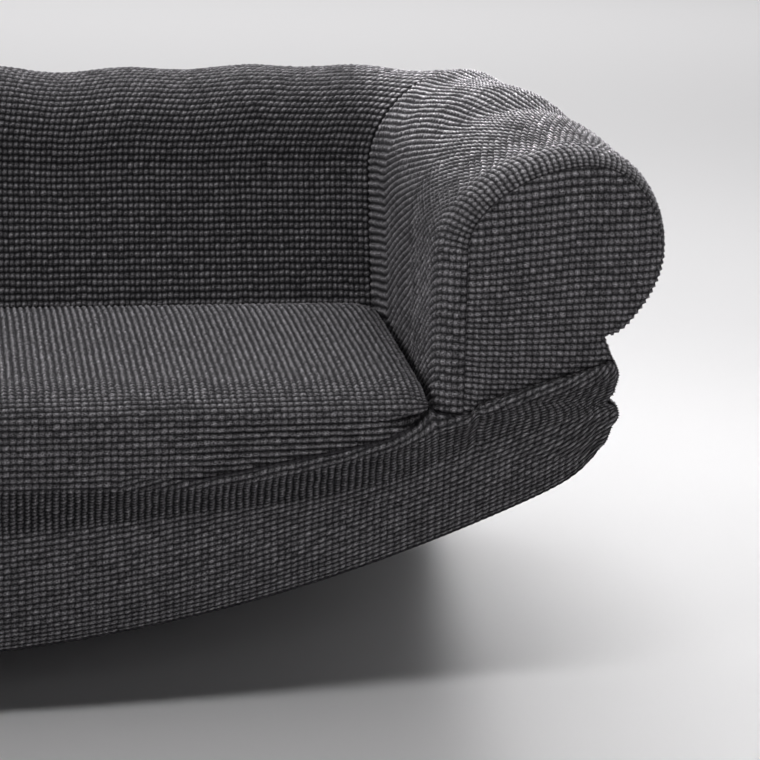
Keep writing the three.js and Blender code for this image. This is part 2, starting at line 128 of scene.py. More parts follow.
@dataclass(frozen=True)
class Section:
    """The cross-section that arms and back share, as distances from the sofa's middle or front."""

    foot: float
    spring: float
    crown: float
    outer: float
    hem: float

    def neck(self) -> tuple[float, float]:
        """Gives the point where the roll's fillet runs into the outer drop.

        Returns:
            Its distance across and its height.
        """
        level = math.cos(NECK_ANGLE)
        across = self.crown + (self.outer - self.crown) * level - NECK_RADIUS * (1 - level)
        height = SPRING - (UNDER_ROLL + NECK_RADIUS) * math.sin(NECK_ANGLE)
        return across, height

    def place(self, station: Array, hem: Array) -> tuple[Array, Array]:
        """Gives the section's point at a station.

        Stations 0 to 1 climb the upright face, 1 to 2 a quarter ellipse up the inside of the
        roll, 2 to 3 another down its outside, 3 to 4 an arc under it, 4 to 5 the neck's fillet,
        and 5 to 6 the straight drop to the hem.

        Args:
            station: How far round the section, 0 to 6.
            hem: Height of the hem there.

        Returns:
            The distance across and the height.
        """
        part = np.minimum(np.floor(station), AT_DROP)
        share = station - part
        turn = share * math.pi / 2
        reach = self.outer - self.crown
        bend = NECK_ANGLE * (1 - share)
        neck_x, neck_z = self.neck()
        across = np.select(
            [part == 0, part == 1, part == 2, part == 3, part == 4],
            [
                blend(self.foot, self.spring, share),
                self.crown - (self.crown - self.spring) * np.cos(turn),
                self.crown + reach * np.sin(turn),
                self.crown + reach * np.cos(NECK_ANGLE * share),
                neck_x + NECK_RADIUS * (1 - np.cos(bend)),
            ],
            blend(neck_x, self.hem, share),
        )
        height = np.select(
            [part == 0, part == 1, part == 2, part == 3, part == 4],
            [
                blend(CREVICE, SPRING, share),
                SPRING + (TOP - SPRING) * np.sin(turn),
                SPRING + (TOP - SPRING) * np.cos(turn),
                SPRING - UNDER_ROLL * np.sin(NECK_ANGLE * share),
                neck_z + NECK_RADIUS * np.sin(bend),
            ],
            blend(neck_z, hem, share),
        )
        return across, height

    def facing(self, station: Array, hem: Array) -> tuple[Array, Array]:
        """Gives the way the cloth faces at a station, square to the section.

        Args:
            station: How far round the section.
            hem: Height of the hem there.

        Returns:
            The unit normal's two parts, across and up.
        """
        step = 0.01
        before = self.place(np.maximum(station - step, 0), hem)
        after = self.place(np.minimum(station + step, AT_HEM), hem)
        run = after[0] - before[0]
        rise = after[1] - before[1]
        length = np.hypot(run, rise)
        return -rise / length, run / length

    def lengths(self) -> tuple[Array, Array]:
        """Measures the way round the section with a level hem.

        Returns:
            Distances from the crevice, and the stations at those distances.
        """
        stations = np.linspace(0, AT_HEM, SECTION_SAMPLES)
        across, height = self.place(stations, np.zeros_like(stations))
        steps = np.hypot(np.diff(across), np.diff(height))
        return np.concatenate([[0.0], np.cumsum(steps)]), stations


ARM = Section(foot=682, spring=680, crown=845, outer=963, hem=870)
BACK = Section(foot=560, spring=640, crown=754, outer=854, hem=772)


@dataclass(frozen=True)
class Hump:
    """A soft hump or hollow in an arm's cloth: its middle, its height and its two spreads."""

    station: float
    depth: float
    height: float
    across: float  # spread round the section, in stations
    along: float  # spread from front to back

    def rise(self, station: Array, depth: Array) -> Array:
        """Gives the hump's height over the plain surface.

        It is a bell round the section times a bell from front to back.

        Args:
            station: How far round the section.
            depth: Distance back from the arm's front.

        Returns:
            The height.
        """
        round_section = bell((station - self.station) / self.across)
        return self.height * round_section * bell((depth - self.depth) / self.along)


ARM_HUMPS = (
    Hump(2.4, 440, 13, 0.8, 110),
    Hump(2.25, 215, 9, 0.7, 95),
    Hump(1.9, 330, -5, 0.5, 60),
    Hump(0.7, 330, 4, 0.6, 150),
    Hump(2.1, 640, -3, 0.7, 60),
    Hump(3, 60, -2.5, 0.5, 120),
    Hump(4.0, 10, 9, 0.3, 70),
    Hump(2.55, 75, 4.5, 0.5, 90),
)


@dataclass(frozen=True)
class Swell:
    """A soft swelling of the cloth along one direction."""

    middle: float
    size: float
    width: float

    def at(self, place: Array) -> Array:
        """Gives the swelling's height at a place: its size times a bell round its middle."""
        return self.size * bell((place - self.middle) / self.width)


# The folds that stand out where the pulled hem bunches up below the right arm, from the top down.
GATHERS = (
    Swell(351.5, 23, 28),
    Swell(316.7, 11.5, 20),
    Swell(320, -9, 5),
    Swell(293, 27, 20.5),
    Swell(286, -3, 4.5),
    Swell(264, 15.2, 15.8),
)


def softening(station: Array) -> Array:
    """Gives how far the corner between arm and back is rounded in: least at the crown."""
    from_crown = (station - AT_CROWN) / CROWN_SPREAD
    return CORNER_SOFTENING * (1 - CROWN_TIGHTNESS * bell(from_crown))


def seam_dip(station: Array, from_seam: Array) -> Array:
    """Gives how far the roll sinks beside that corner: a bell that dies away from the seam."""
    from_crown = (station - AT_CROWN) / CROWN_SPREAD
    return CORNER_DIP * bell(from_crown) * np.exp(-np.abs(from_seam) / CORNER_REACH)


def seam_depth(station: Array) -> Array:
    """Gives how far behind the arm's front the seam between arm and back is."""
    return BACK.place(station, np.zeros_like(station))[0] - softening(station)


def side_hem(depth: Array, lifted: bool) -> Array:
    """Gives the height of the hem along an arm's outside.

    Args:
        depth: Distance back from the arm's front.
        lifted: Whether this arm's front corner is pulled up.

    Returns:
        Its height: level, or falling from the corner to the back's level hem.
    """
    if not lifted:
        return np.zeros_like(depth)
    rear = BACK.hem - CORNER_SOFTENING
    return (LIFT + CORNER_LIFT) * (1 - np.clip(depth / rear, 0, 1) ** SIDE_HEM_BEND)


# ---------- knitted rows and columns ----------

HEM_NODES = np.array([0.5, 1.0, 1.5])  # rows of nodes past the last bubble, the hem's edge last
PAINTED_SHADE_DRAWN_IN = 0.6  # how far nodes drawn in to a seam or a fold take the hem's near-black, as painted shade
PLAIN_PLACE = (0.25, 0.25)  # where on a bubble the plain side is


class Cut(Enum):
    """How deep the grooves between bubbles are, between columns and between rows, in the sheet and in
    the painted shade that darkens them.
    """

    BUBBLED = (0.50, 0.95)
    PITTED = (1.50, 0.85)
    DOTTED = (0.80, 1.30)
    RIBBED = (1.45, 0.60)
    STRETCHED = (0.15, 1.50)


class Level(Enum):
    """Heights of nodes that the knit doesn't set, as shares of a bubble's."""

    FLUSH = 0.45
    SEAM = 0.1


@dataclass
class Layer:
    """One side of a panel as a grid: rows down the first index, columns along the second."""

    a: Array
    b: Array
    column: Array
    row: Array
    column_cut: Array
    row_cut: Array
    level: Array
    hem: Array

    @classmethod
    def plain(cls, a: Array, b: Array) -> "Layer":
        """Makes a smooth layer with no knit in it, from both parameters at each node."""
        zero = np.zeros_like(a)
        return cls(a, b, zero, zero, zero, zero, zero, zero)

    def relief(self) -> Array:
        """Gives how high each node stands: one on a bubble's top, less in the grooves.

        Each groove takes away its cut times the squared sine of the way to the next bubble.

        Returns:
            Heights from 0 to 1, with the given ones where there are any.
        """
        between_columns = np.sin(math.pi * self.column) ** 2
        between_rows = np.sin(math.pi * self.row) ** 2
        height = (1 - self.column_cut * between_columns) * (1 - self.row_cut * between_rows)
        return np.where(np.isnan(self.level), height, self.level)


@dataclass(frozen=True)
class Gauge:
    """How large the bubbles are and how high they stand, in millimetres."""

    column: float
    row: float
    height: float
    shake: float = 0.3  # how unevenly nodes lie


class Cloth:
    """A panel's smooth surface, and the layers of nodes laid on it."""

    name: str
    mirrored: bool
    gauge: Gauge
    plain_nodes: tuple[int, int]
    corners = ((0, 0), (AT_HEM, 0), (AT_HEM, 1), (0, 1))
    step = 1e-3

    def point(self, a: Array, b: Array) -> Array:
        """Gives points of the smooth surface.

        Args:
            a: The first parameter.
            b: The second parameter.

        Returns:
            Points, with X, Y and Z along the last axis.
        """
        raise NotImplementedError

    def reach(self, a: Array, b: Array) -> tuple[Array, Array, Array, Array]:
        """Gives parameters a small step to either side that are still on the panel.

        Args:
            a: The first parameter.
            b: The second parameter.

        Returns:
            The lower and upper first parameter, then the lower and upper second one.
        """
        ends = np.array(self.corners, dtype=float)
        low, high = ends.min(axis=0), ends.max(axis=0)
        return (
            np.maximum(a - self.step, low[0]),
            np.minimum(a + self.step, high[0]),
            np.maximum(b - self.step, low[1]),
            np.minimum(b + self.step, high[1]),
        )

    def normal(self, a: Array, b: Array) -> Array:
        """Gives the way the surface faces, from its slopes along both parameters.

        Args:
            a: The first parameter.
            b: The second parameter.

        Returns:
            Unit vectors along the last axis.
        """
        low_a, high_a, low_b, high_b = self.reach(a, b)
        along = self.point(high_a, b) - self.point(low_a, b)
        across = self.point(a, high_b) - self.point(a, low_b)
        facing = np.cross(along, across)
        length = np.linalg.norm(facing, axis=-1, keepdims=True)
        return facing / np.maximum(length, TINY)

    def perimeter(self, a: Array, b: Array) -> Array:
        """Measures how far round the panel's edge a node is.

        Args:
            a: The first parameter.
            b: The second parameter.

        Returns:
            The number of the side plus the share along it, or nothing inside the panel.
        """
        place = np.full(a.shape, np.nan)
        ends = np.array(self.corners, dtype=float)
        for side, (start, end) in enumerate(zip(ends, np.roll(ends, -1, axis=0))):
            run = end - start
            share = ((a - start[0]) * run[0] + (b - start[1]) * run[1]) / (run @ run)
            off = np.abs((a - start[0]) * run[1] - (b - start[1]) * run[0])
            on_side = (off < ON_EDGE) & (share > -TINY) & (share < 1 + TINY)
            place = np.where(on_side, (side + share) % len(ends), place)
        return place

    def around(self) -> float:
        """Gives the perimeter's whole length: the number of sides."""
        return float(len(self.corners))

    def keep(self, layer: Layer) -> Array:
        """Says which cells of a layer's grid are part of the panel."""
        return np.ones((layer.a.shape[0] - 1, layer.a.shape[1] - 1), dtype=bool)

    def outer(self) -> Layer:
        """Lays the knitted side."""
        raise NotImplementedError

    def inner(self) -> Layer:
        """Lays the plain side towards the sofa, with its nodes evenly from end to end.

        Returns:
            Its layer.
        """
        ends = np.array(self.corners, dtype=float)
        spans = zip(ends.min(axis=0), ends.max(axis=0), self.plain_nodes)
        a, b = np.meshgrid(*(np.linspace(*span) for span in spans), indexing="ij")
        return Layer.plain(a, b)


@dataclass
class ArmCloth(Cloth):
    """The roll of an arm, from the crevice by the seat over the top and down to the hem."""

    name: str = ""
    lifted: bool = False
    mirrored: bool = False
    gauge: Gauge = Gauge(13.0, 10.5, 3.2)
    toe: float = 0.055  # how much the upright face opens towards the back
    toe_centre: float = 300.0  # how far back that face keeps its place
    edge_insets: tuple[float, ...] = (37.0, 20.0, 9.0)  # at the spring, crown and outside
    bunch: float = 11.0  # how far the pulled-up side stands out, without its folds
    bunch_reach: float = 130.0  # how far back that dies away
    roll_row: float = 8.3  # distance between rows over the roll
    roll_from: tuple[float, float] = (190.0, 300.0)  # between where rows come that close
    outside_row: float = 8.6  # distance between rows down the outside
    outside_from: tuple[float, float] = (640.0, 760.0)
    strip_saving: float = 20.0  # how much closer the first columns lie, in all
    strip_columns: float = 5.0  # how many columns share most of that
    fan_from: float = 0.15  # share of the columns past which they fan out to the back
    lag_at: tuple[float, ...] = (0, 28, 60, 100, 235, 285, 530, 560, 900)  # along the arm
    lag_slope: tuple[float, ...] = (0, 0, 0.4, 0.6, 0.6, 0.39, 0.39, 0.18, 0.18)  # of rows there
    lag_stations: tuple[float, float] = (1.0, 5.5)  # where the fall starts to fade and is gone
    stretched_from: tuple[float, float] = (45.0, 90.0)  # back from the front seam
    stretched_until: tuple[float, float] = (0.8, 1.5)  # up the section
    pitted_from: tuple[float, float] = (50.0, 120.0)
    pitted_above: tuple[float, float] = (1.0, 1.6)
    plain_nodes: tuple[int, int] = (97, 41)

    def humps(self, station: Array, depth: Array) -> Array:
        """Adds up the arm's soft humps, as a height over the plain roll."""
        return sum(hump.rise(station, depth) for hump in ARM_HUMPS)

    def pucker(self, station: Array, height: Array, depth: Array) -> Array:
        """Gives how far the pulled-up side bunches out: a sum of bells down its height.

        Args:
            station: How far round the section.
            height: Height over the level hem.
            depth: Distance back from the arm's front.

        Returns:
            Distance out, dying away towards the back.
        """
        if not self.lifted:
            return np.zeros_like(height)
        folds = sum(gather.at(height) for gather in GATHERS)
        below = np.clip(station - AT_NECK, 0, 1)
        return (self.bunch + folds) * below * np.exp(-depth / self.bunch_reach)

    def spot(self, station: Array, from_seam: Array) -> Array:
        """Gives a point of the arm: the section, moved back and rounded in at both ends.

        The front edge turns through a quarter round to the front seam, and the rear corner is
        rounded in by an exponential fade.

        Args:
            station: How far round the section.
            from_seam: Distance from the front seam along the cloth.

        Returns:
            Points along the last axis.
        """
        turn = np.minimum(from_seam / FRONT_ROUND, math.pi / 2)
        depth = FRONT_ROUND * (1 - np.cos(turn)) + np.maximum(from_seam - QUARTER, 0)
        hem = side_hem(depth, self.lifted)
        across, height = ARM.place(station, hem)
        facing_x, facing_z = ARM.facing(station, hem)
        inset = np.interp(station, (AT_SPRING, AT_CROWN, AT_OUTSIDE), self.edge_insets)
        inwards = inset * (1 - np.sin(turn)) - self.humps(station, depth)
        seam = seam_depth(station)
        fade = np.exp(-np.maximum(seam - depth, 0) / CORNER_REACH)
        upright = np.cos(math.pi / 2 * np.clip(station - AT_SPRING, 0, 1)) ** 2
        toe = self.toe * (depth - self.toe_centre) * upright
        x = across - facing_x * inwards + toe - softening(station) * fade
        z = height - facing_z * inwards - seam_dip(station, seam - depth)
        return np.stack([x + self.pucker(station, height, depth), depth, z], axis=-1)

    def rear(self, station: Array) -> Array:
        """Gives how far along the cloth the arm reaches from its front seam to the back."""
        return seam_depth(station) - FRONT_ROUND + QUARTER - SEAM_GAP

    def point(self, a: Array, b: Array) -> Array:
        """Gives points of the arm, from its station and its share of the way to the back."""
        return self.spot(a, blend(SEAM_GAP, self.rear(a), b))

    def lag(self, along: Array) -> Array:
        """Gives how much lower a row lies than it does at the front.

        Rows are level by the front seam, then fall steeply and after that gently to the back:
        their slope, joined by straight lines, is added up along the arm.

        Args:
            along: Distance from the front seam.

        Returns:
            The fall.
        """
        run = np.linspace(0, self.lag_at[-1], LAG_SAMPLES)
        slope = np.interp(run, self.lag_at, self.lag_slope)
        steps = (slope[1:] + slope[:-1]) / 2 * np.diff(run)
        return np.interp(along, run, np.concatenate([[0.0], np.cumsum(steps)]))

    def columns(self) -> int:
        """Counts the columns from the front seam to the back."""
        return round((float(self.rear(np.array(AT_CROWN))) + self.strip_saving) / self.gauge.column)

    def reach_back(self, share: Array, station: Array) -> Array:
        """Gives how far back a column lies: closely spaced at the front, then stretched wide.

        Args:
            share: The column's share of all the columns.
            station: How far round the section.

        Returns:
            Distance from the front seam.
        """
        whole = self.rear(np.array(AT_CROWN))
        saved = self.strip_saving * (1 - np.exp(-share * self.columns() / self.strip_columns))
        even = share * (whole + self.strip_saving) - saved
        return even + (self.rear(station) - whole) * ramp(share, self.fan_from, 1)

    def pitch(self, level: Array) -> Array:
        """Gives the distance between rows at a distance from the crevice."""
        rolled = blend(self.gauge.row, self.roll_row, ramp(level, *self.roll_from))
        return blend(rolled, self.outside_row, ramp(level, *self.outside_from))

    def outer(self) -> Layer:
        """Lays rows of bubbles from the crevice to the hem, two nodes to a bubble.

        Returns:
            The knitted layer.
        """
        lengths, stations = ARM.lengths()
        row, level = rows_to_hem(lengths[-1], self.pitch)
        column = np.arange(2 * self.columns() + 1) / 2
        share = column / self.columns()
        along = self.reach_back(share, np.array(AT_SPRING))
        full, gone = np.interp(self.lag_stations, stations, lengths)
        grip = 1 - np.clip((level - full) / (gone - full), 0, 1)
        place = np.maximum(level[:, None] - self.lag(along)[None, :] * grip[:, None], 0)
        a = np.interp(place, lengths, stations)
        a[-1] = AT_HEM
        b = self.reach_back(share[None, :], a) / self.rear(a)
        b[:, -1] = 1.0
        away = along[None, :]
        low = 1 - ramp(a, *self.stretched_until)
        cuts = [
            (Cut.STRETCHED, ramp(away, *self.stretched_from) * low),
            (Cut.PITTED, ramp(away, *self.pitted_from) * ramp(a, *self.pitted_above)),
        ]
        return knit_layer(a, b, column - 0.5, row, cuts, place <= 0)


def rows_to_hem(whole: float, pitch: Callable[[Array], Array]) -> tuple[Array, Array]:
    """Spaces rows of nodes from a groove at the upper edge to the hem, two to a row of bubbles.

    Args:
        whole: Distance from the edge to the hem.
        pitch: Gives the distance between rows of bubbles at any distance from the edge.

    Returns:
        The number of each row of nodes, and its distance from the edge. The last three rows are
        past the last bubble, and the very last is the hem's edge.
    """
    run = np.linspace(0, whole - HEM_BAND, ROW_SAMPLES)
    counted = np.concatenate([[0.0], np.cumsum(np.diff(run) / pitch((run[1:] + run[:-1]) / 2))])
    rows = round(float(counted[-1]))
    knit = np.arange(2 * rows + 1) / 2
    level = np.interp(knit, counted * rows / counted[-1], run)
    row = np.concatenate([knit, rows + HEM_NODES]) - 0.5
    return row, np.concatenate([level, whole - HEM_BAND * (1 - HEM_NODES / HEM_NODES[-1])])


def knit_layer(
    a: Array, b: Array, column: Array, row: Array, cuts: list[tuple[Cut, Array]], hidden: Array
) -> Layer:
    """Puts bubbles on a grid of nodes whose last row is the hem's edge.

    Args:
        a: The first parameter at each node.
        b: The second parameter at each node.
        column: Which column each of the grid's columns is at.
        row: Which row each of the grid's rows is at.
        cuts: Cuts that parts of the panel have in place of the bubbled one, and each node's
            share of them.
        hidden: Nodes that are drawn in to a seam or a fold; they are also painted partly dark as
            shade.

    Returns:
        The layer.
    """
    shape = a.shape
    in_hem = np.zeros(shape)
    in_hem[-1] = 1
    column_cut, row_cut = (np.full(shape, value) for value in Cut.BUBBLED.value)
    for cut, share in cuts:
        column_cut = blend(column_cut, cut.value[0], share)
        row_cut = blend(row_cut, cut.value[1], share)
    level = np.where(hidden, Level.SEAM.value, np.nan)
    return Layer(
        a=a,
        b=np.array(b),
        column=np.broadcast_to(column[None, :], shape),
        row=np.broadcast_to(row[:, None], shape),
        column_cut=column_cut,
        row_cut=row_cut,
        level=level,
        # nodes drawn in to a seam or the fold take part of the hem's near-black as painted shade
        hem=np.maximum(in_hem, hidden * PAINTED_SHADE_DRAWN_IN),
    )


@dataclass(frozen=True)
class Wave:
    """One wave along the top of the back."""

    length: float
    height: float
    phase: float


BACK_WAVES = (
    Wave(587, 4.7, 1.71),
    Wave(307, 1.6, 0.54),
    Wave(187, 3.0, 3.13),
)


@dataclass
class BackCloth(Cloth):
    """The back: its inside, the roll over its top and its outside down to the hem."""

    name: str = "back"
    mirrored: bool = False
    corners = ((0, -1), (AT_HEM, -1), (AT_HEM, 1), (0, 1))
    gauge: Gauge = Gauge(8.0, 10.4, 2.4)
    neighbour: ArmCloth = field(default_factory=ArmCloth)
    sag: float = 7.0  # how far the crown hangs between the arms
    sag_spread: float = 0.9  # how far from the crown that reaches, in stations
    sag_from: float = 60.0  # how far from an arm it has mostly set in
    dotted_below: tuple[float, float] = (1.3, 1.9)
    plain_nodes: tuple[int, int] = (73, 81)

    def half(self, station: Array) -> Array:
        """Gives the distance from the middle to the seam with an arm."""
        seam = seam_depth(station)
        return self.neighbour.spot(station, seam - FRONT_ROUND + QUARTER)[..., 0] - SEAM_GAP

    def point(self, a: Array, b: Array) -> Array:
        """Gives points of the back: the section run along X, with waves along its crown.

        Args:
            a: The station round the section.
            b: The share from the middle to either arm, the right arm's being -1.

        Returns:
            Points along the last axis.
        """
        depth, height = BACK.place(a, np.zeros_like(a))
        half = self.half(a)
        x = -half * b
        from_seam = half * (1 - np.abs(b))
        crest = bell((a - AT_CROWN) / self.sag_spread) * (1 - np.exp(-from_seam / self.sag_from))
        waves = sum(w.height * np.sin(2 * math.pi * x / w.length + w.phase) for w in BACK_WAVES)
        y = depth - softening(a) * np.exp(-from_seam / CORNER_REACH)
        z = height + crest * (waves - self.sag) - seam_dip(a, from_seam)
        return np.stack([x, y, z], axis=-1)

    def outer(self) -> Layer:
        """Lays level rows of bubbles from the crevice to the hem.

        Returns:
            The knitted layer.
        """
        lengths, stations = BACK.lengths()
        row, level = rows_to_hem(lengths[-1], lambda run: np.full_like(run, self.gauge.row))
        columns = round(2 * self.half(np.array(AT_SPRING)) / self.gauge.column)
        column = np.arange(2 * columns + 1) / 2
        station = np.interp(level, lengths, stations)
        station[-1] = AT_HEM
        a, b = np.meshgrid(station, column / columns * 2 - 1, indexing="ij")
        dotted = (Cut.DOTTED, 1 - ramp(a, *self.dotted_below))
        return knit_layer(a, b, column - 0.5, row, [dotted], np.zeros(a.shape, dtype=bool))


# ---------- the fold that the pull leaves ----------

# The fold's line across the front: distances to the right and heights.
FOLD_X = (-900, -640, -200, 366, 522, 597, 642, 664, 709, 722, 750, 792, 833, 872, 900)
FOLD_Z = (303.4, 303.4, 262, 232, 262, 276, 292, 303.4, 303.4, 318, 328, 342, 353, 364, 374.5)

# The band below it in which the pull squeezes the rows: distances and both edges' heights.
BAND_X = (117, 227, 302, 377, 453, 530, 626, 728, 858)
BAND_TOP = (220, 217, 217, 219, 228, 244, 267, 306, 334)
BAND_FOOT = (160, 169, 177, 184, 191, 203, 223, 271, 293)
BAND_EDGE = 4.0  # how softly its edges set in
SQUEEZED = 3.85  # distance between its rows

SKIRT_ROWS = 41.5
EVEN_ROW = (CREVICE - HEM_BAND) / SKIRT_ROWS
LAST_ROWS = 4.0  # how many small rows there are over the pulled hem
PULLED_FROM = (-300.0, 100.0)  # between where the pull changes the rows
CLOSER_FROM = (300.0, 600.0)  # between where they hang a little closer
LAST_ROW = 5.7  # distance between the last rows
FULL_ROW = (7.3, 6.9)  # distance between rows below the band, to the left and to the right
OVER_ROW = (8.6, 8.2)  # and above it

FOLD_FROM = (180.0, 480.0)  # between where the fold gathers strength
GROOVE = 2.5  # depth of the groove over the fold
GROOVE_REACH = 14.0
GROOVE_ENDS = (660.0, 700.0)
RIDGE = 5.0  # how far the ridge under it stands out
RIDGE_BELOW = 9.0
RIDGE_SPREAD = 12.0
LIP = 1.5  # height of the step between them
CREASE = 1.2  # depth of the creases over the groove
CREASE_LENGTH = 17.0
CREASE_FROM = (4.0, 16.0)
HIDDEN_FROM, HIDDEN_TO = 330.0, 690.0  # the stretch where rows are hidden in the fold


def fold_height(x: Array) -> Array:
    """Gives the height of the fold across the front."""
    return np.interp(x, FOLD_X, FOLD_Z)


@dataclass
class SeatCloth(Cloth):
    """The seat and the front skirt, one T-shaped panel with its right corner pulled up."""

    name: str = "seat_and_skirt"
    mirrored: bool = False
    corners = ((0, -1), (1, -1), (1, -2), (2, -2), (2, 2), (1, 2), (1, 1), (0, 1))
    gauge: Gauge = Gauge(8.9, 8.3, 2.8)
    right: ArmCloth = field(default_factory=lambda: ArmCloth(lifted=True))
    left: ArmCloth = field(default_factory=ArmCloth)
    hang_out: float = 4.0  # how far the skirt hangs before the arms' fronts
    over_edge: Swell = Swell(262, 10, 70)  # how it swells out below the seat's edge
    under_edge: Swell = Swell(174, 8, 45)  # and goes in under that
    bulge_width: float = 560.0  # how far from the middle both go undiminished
    bulge_fade: float = 80.0
    bulge_at_ends: float = 0.25
    dip_width: float = 37.0  # of the corner that dips in beside an arm's front
    dip_height: float = 16.0
    foot_tuck: float = 2.0  # how far in the skirt starts below an arm's front
    foot_tuck_height: float = 5.0
    edge_height: float = 20.0  # how far down the skirt follows the seat's edge
    halfway_down: float = 200.0  # the height from which a place on the skirt is looked for
    rounds: int = 5  # in which that settles
    ribbed_behind: tuple[float, float] = (0.06, 0.3)  # back from the seat's front, as a share
    band_from: tuple[float, float] = (40.0, 160.0)  # where the squeezed band's ribs set in
    band_until: tuple[float, float] = (540.0, 680.0)  # and where they lose some depth
    band_loss: float = 0.8
    stretched_above: tuple[float, float] = (0.0, 6.0)  # over the fold
    stretched_from: tuple[float, float] = (300.0, 420.0)  # out from the middle
    stretch: float = 0.6
    plain_pitch: float = 20.0
    plain_rows: tuple[int, ...] = (7, 12, 12, 13, 28)

    def edge(self, depth: Array) -> Array:
        """Gives how far the seat reaches to either side.

        Args:
            depth: Distance behind the arms' fronts.

        Returns:
            Distance from the middle to the arm's foot.
        """
        depth = np.asarray(depth, dtype=float)
        along = np.maximum(depth, FRONT_ROUND) - FRONT_ROUND + QUARTER
        return self.left.spot(np.zeros_like(depth), along)[..., 0] - SEAT_PLAY

    def end(self, height: Array, arm: ArmCloth) -> Array:
        """Gives how far the skirt reaches to one side.

        Args:
            height: Height over the level hem.
            arm: The arm on that side.

        Returns:
            Distance from the middle to the seam at the outer corner.
        """
        hem = side_hem(np.zeros(1), arm.lifted)[0]
        neck = ARM.neck()[1]
        station = AT_DROP + np.clip((neck - height) / (neck - hem), 0, 1)
        return arm.spot(station, np.zeros_like(station))[..., 0] - 3 * SEAM_GAP

    def corner(self) -> float:
        """Gives how far from the middle the pulled-up corner is."""
        return float(self.end(np.zeros(1), self.right)[0])

    def hem(self, x: Array) -> Array:
        """Gives the front hem's height: level, then a parabola with a last upward turn.

        Args:
            x: Distance from the middle, to the right.

        Returns:
            Height over the level hem.
        """
        corner = self.corner()
        share = np.maximum(x - LIFT_START, 0) / (corner - LIFT_START)
        turned = LIFT * share**2 + CORNER_LIFT * np.exp(np.minimum(x - corner, 0) / CORNER_LIFT)
        return np.where(x > LIFT_START, turned, 0.0)

    def top(self, x: Array) -> Array:
        """Gives the skirt's top: the crevice between the arms, the fold below an arm's front."""
        return np.where(np.abs(x) < float(self.edge(0.0)), CREVICE, fold_height(x) - SEAM_GAP)

    def seat(self, v: Array, share: Array) -> Array:
        """Gives points of the seat.

        A quarter ellipse comes up from the rear crevice, then the top rises to the front edge,
        which a quarter circle rounds over. The sides are rounded down to the crevice.

        Args:
            v: 0 at the rear crevice to 1 at the foot of the front round.
            share: Share of the way from the middle to either arm.

        Returns:
            Points along the last axis.
        """
        from_edge = (1 - np.abs(share)) * float(self.edge(BACK.foot))
        rear = BACK.foot - 2 * SEAM_GAP - CORNER_SOFTENING * np.exp(-from_edge / CORNER_REACH)
        start = SEAT_FRONT_Y + SEAT_FRONT_REACH
        back_turn = np.clip(v / SEAT_REAR_SHARE, 0, 1) * math.pi / 2
        front_turn = np.clip((v - SEAT_FRONT_SHARE) / (1 - SEAT_FRONT_SHARE), 0, 1) * math.pi / 2
        run = np.clip((v - SEAT_REAR_SHARE) / (SEAT_FRONT_SHARE - SEAT_REAR_SHARE), 0, 1)
        y = blend(rear - SEAT_REAR_TUCK * (1 - np.cos(back_turn)), start, run)
        y = y - SEAT_FRONT_REACH * np.sin(front_turn)
        z = self.crown(y)
        z = np.where(v < SEAT_REAR_SHARE, CREVICE + (z - CREVICE) * np.sin(back_turn), z)
        rounded = SEAT_FRONT - SEAT_FRONT_RADIUS * (1 - np.cos(front_turn))
        z = np.where(v > SEAT_FRONT_SHARE, rounded, z)
        edge = self.edge(y)
        x = edge * share
        inside = np.clip(1 - (edge - np.abs(x)) / SEAT_SIDE_RADIUS, 0, 1)
        drop = 1 - np.sqrt(1 - inside**2)
        z = z - drop * (z - CREVICE)
        y = np.where(y < FRONT_ROUND, blend(y, FRONT_ROUND, drop), y)
        return np.stack([x, y, z], axis=-1)

    def crown(self, depth: Array) -> Array:
        """Gives the height of the seat's middle: a straight fall to the rear plus half a sine."""
        share = np.clip(depth / (BACK.foot - CORNER_SOFTENING), 0, 1)
        return blend(SEAT_FRONT, SEAT_REAR, share) + SEAT_CROWN * np.sin(math.pi * share)

    def bulge(self, x: Array, z: Array) -> Array:
        """Gives how far out the front hangs: over the seat's edge, in below it, then down.

        Args:
            x: Distance from the middle.
            z: Height over the level hem.

        Returns:
            The depth, negative being in front of the arms.
        """
        beside = np.maximum(np.abs(x) - self.bulge_width, 0) / self.bulge_fade
        middle = blend(self.bulge_at_ends, 1, bell(beside))
        return -self.hang_out - middle * (self.over_edge.at(z) - self.under_edge.at(z))

    def relief(self, x: Array, z: Array) -> Array:
        """Gives the fold's groove above its line and its ridge below it.

        Args:
            x: Distance from the middle, to the right.
            z: Height over the level hem.

        Returns:
            The distance in, negative being out.
        """
        below = fold_height(x) - z
        out = ramp(below, 0, LIP)
        groove = GROOVE * (1 - ramp(x, *GROOVE_ENDS)) * np.exp(np.minimum(below, 0) / GROOVE_REACH)
        ridge = RIDGE * bell((below - RIDGE_BELOW) / RIDGE_SPREAD)
        crease = CREASE * np.sin(below * 2 * math.pi / CREASE_LENGTH) * ramp(-below, *CREASE_FROM)
        return ramp(x, *FOLD_FROM) * ((1 - out) * groove - out * ridge + crease)

    def dip(self, x: Array, below: Array) -> Array:
        """Gives how far the skirt dips in to an arm's quarter round, under the seat's corner.

        Args:
            x: Distance from the middle.
            below: Distance below the skirt's top.

        Returns:
            The distance in.
        """
        from_edge = np.abs(x) - float(self.edge(0.0)) - SEAT_PLAY
        share = 1 - np.clip(from_edge / self.dip_width, 0, 1)
        fade = bell(np.minimum(from_edge, 0) / SEAT_SIDE_RADIUS)
        return FRONT_ROUND * (1 - np.sqrt(1 - share**2)) * bell(below / self.dip_height) * fade

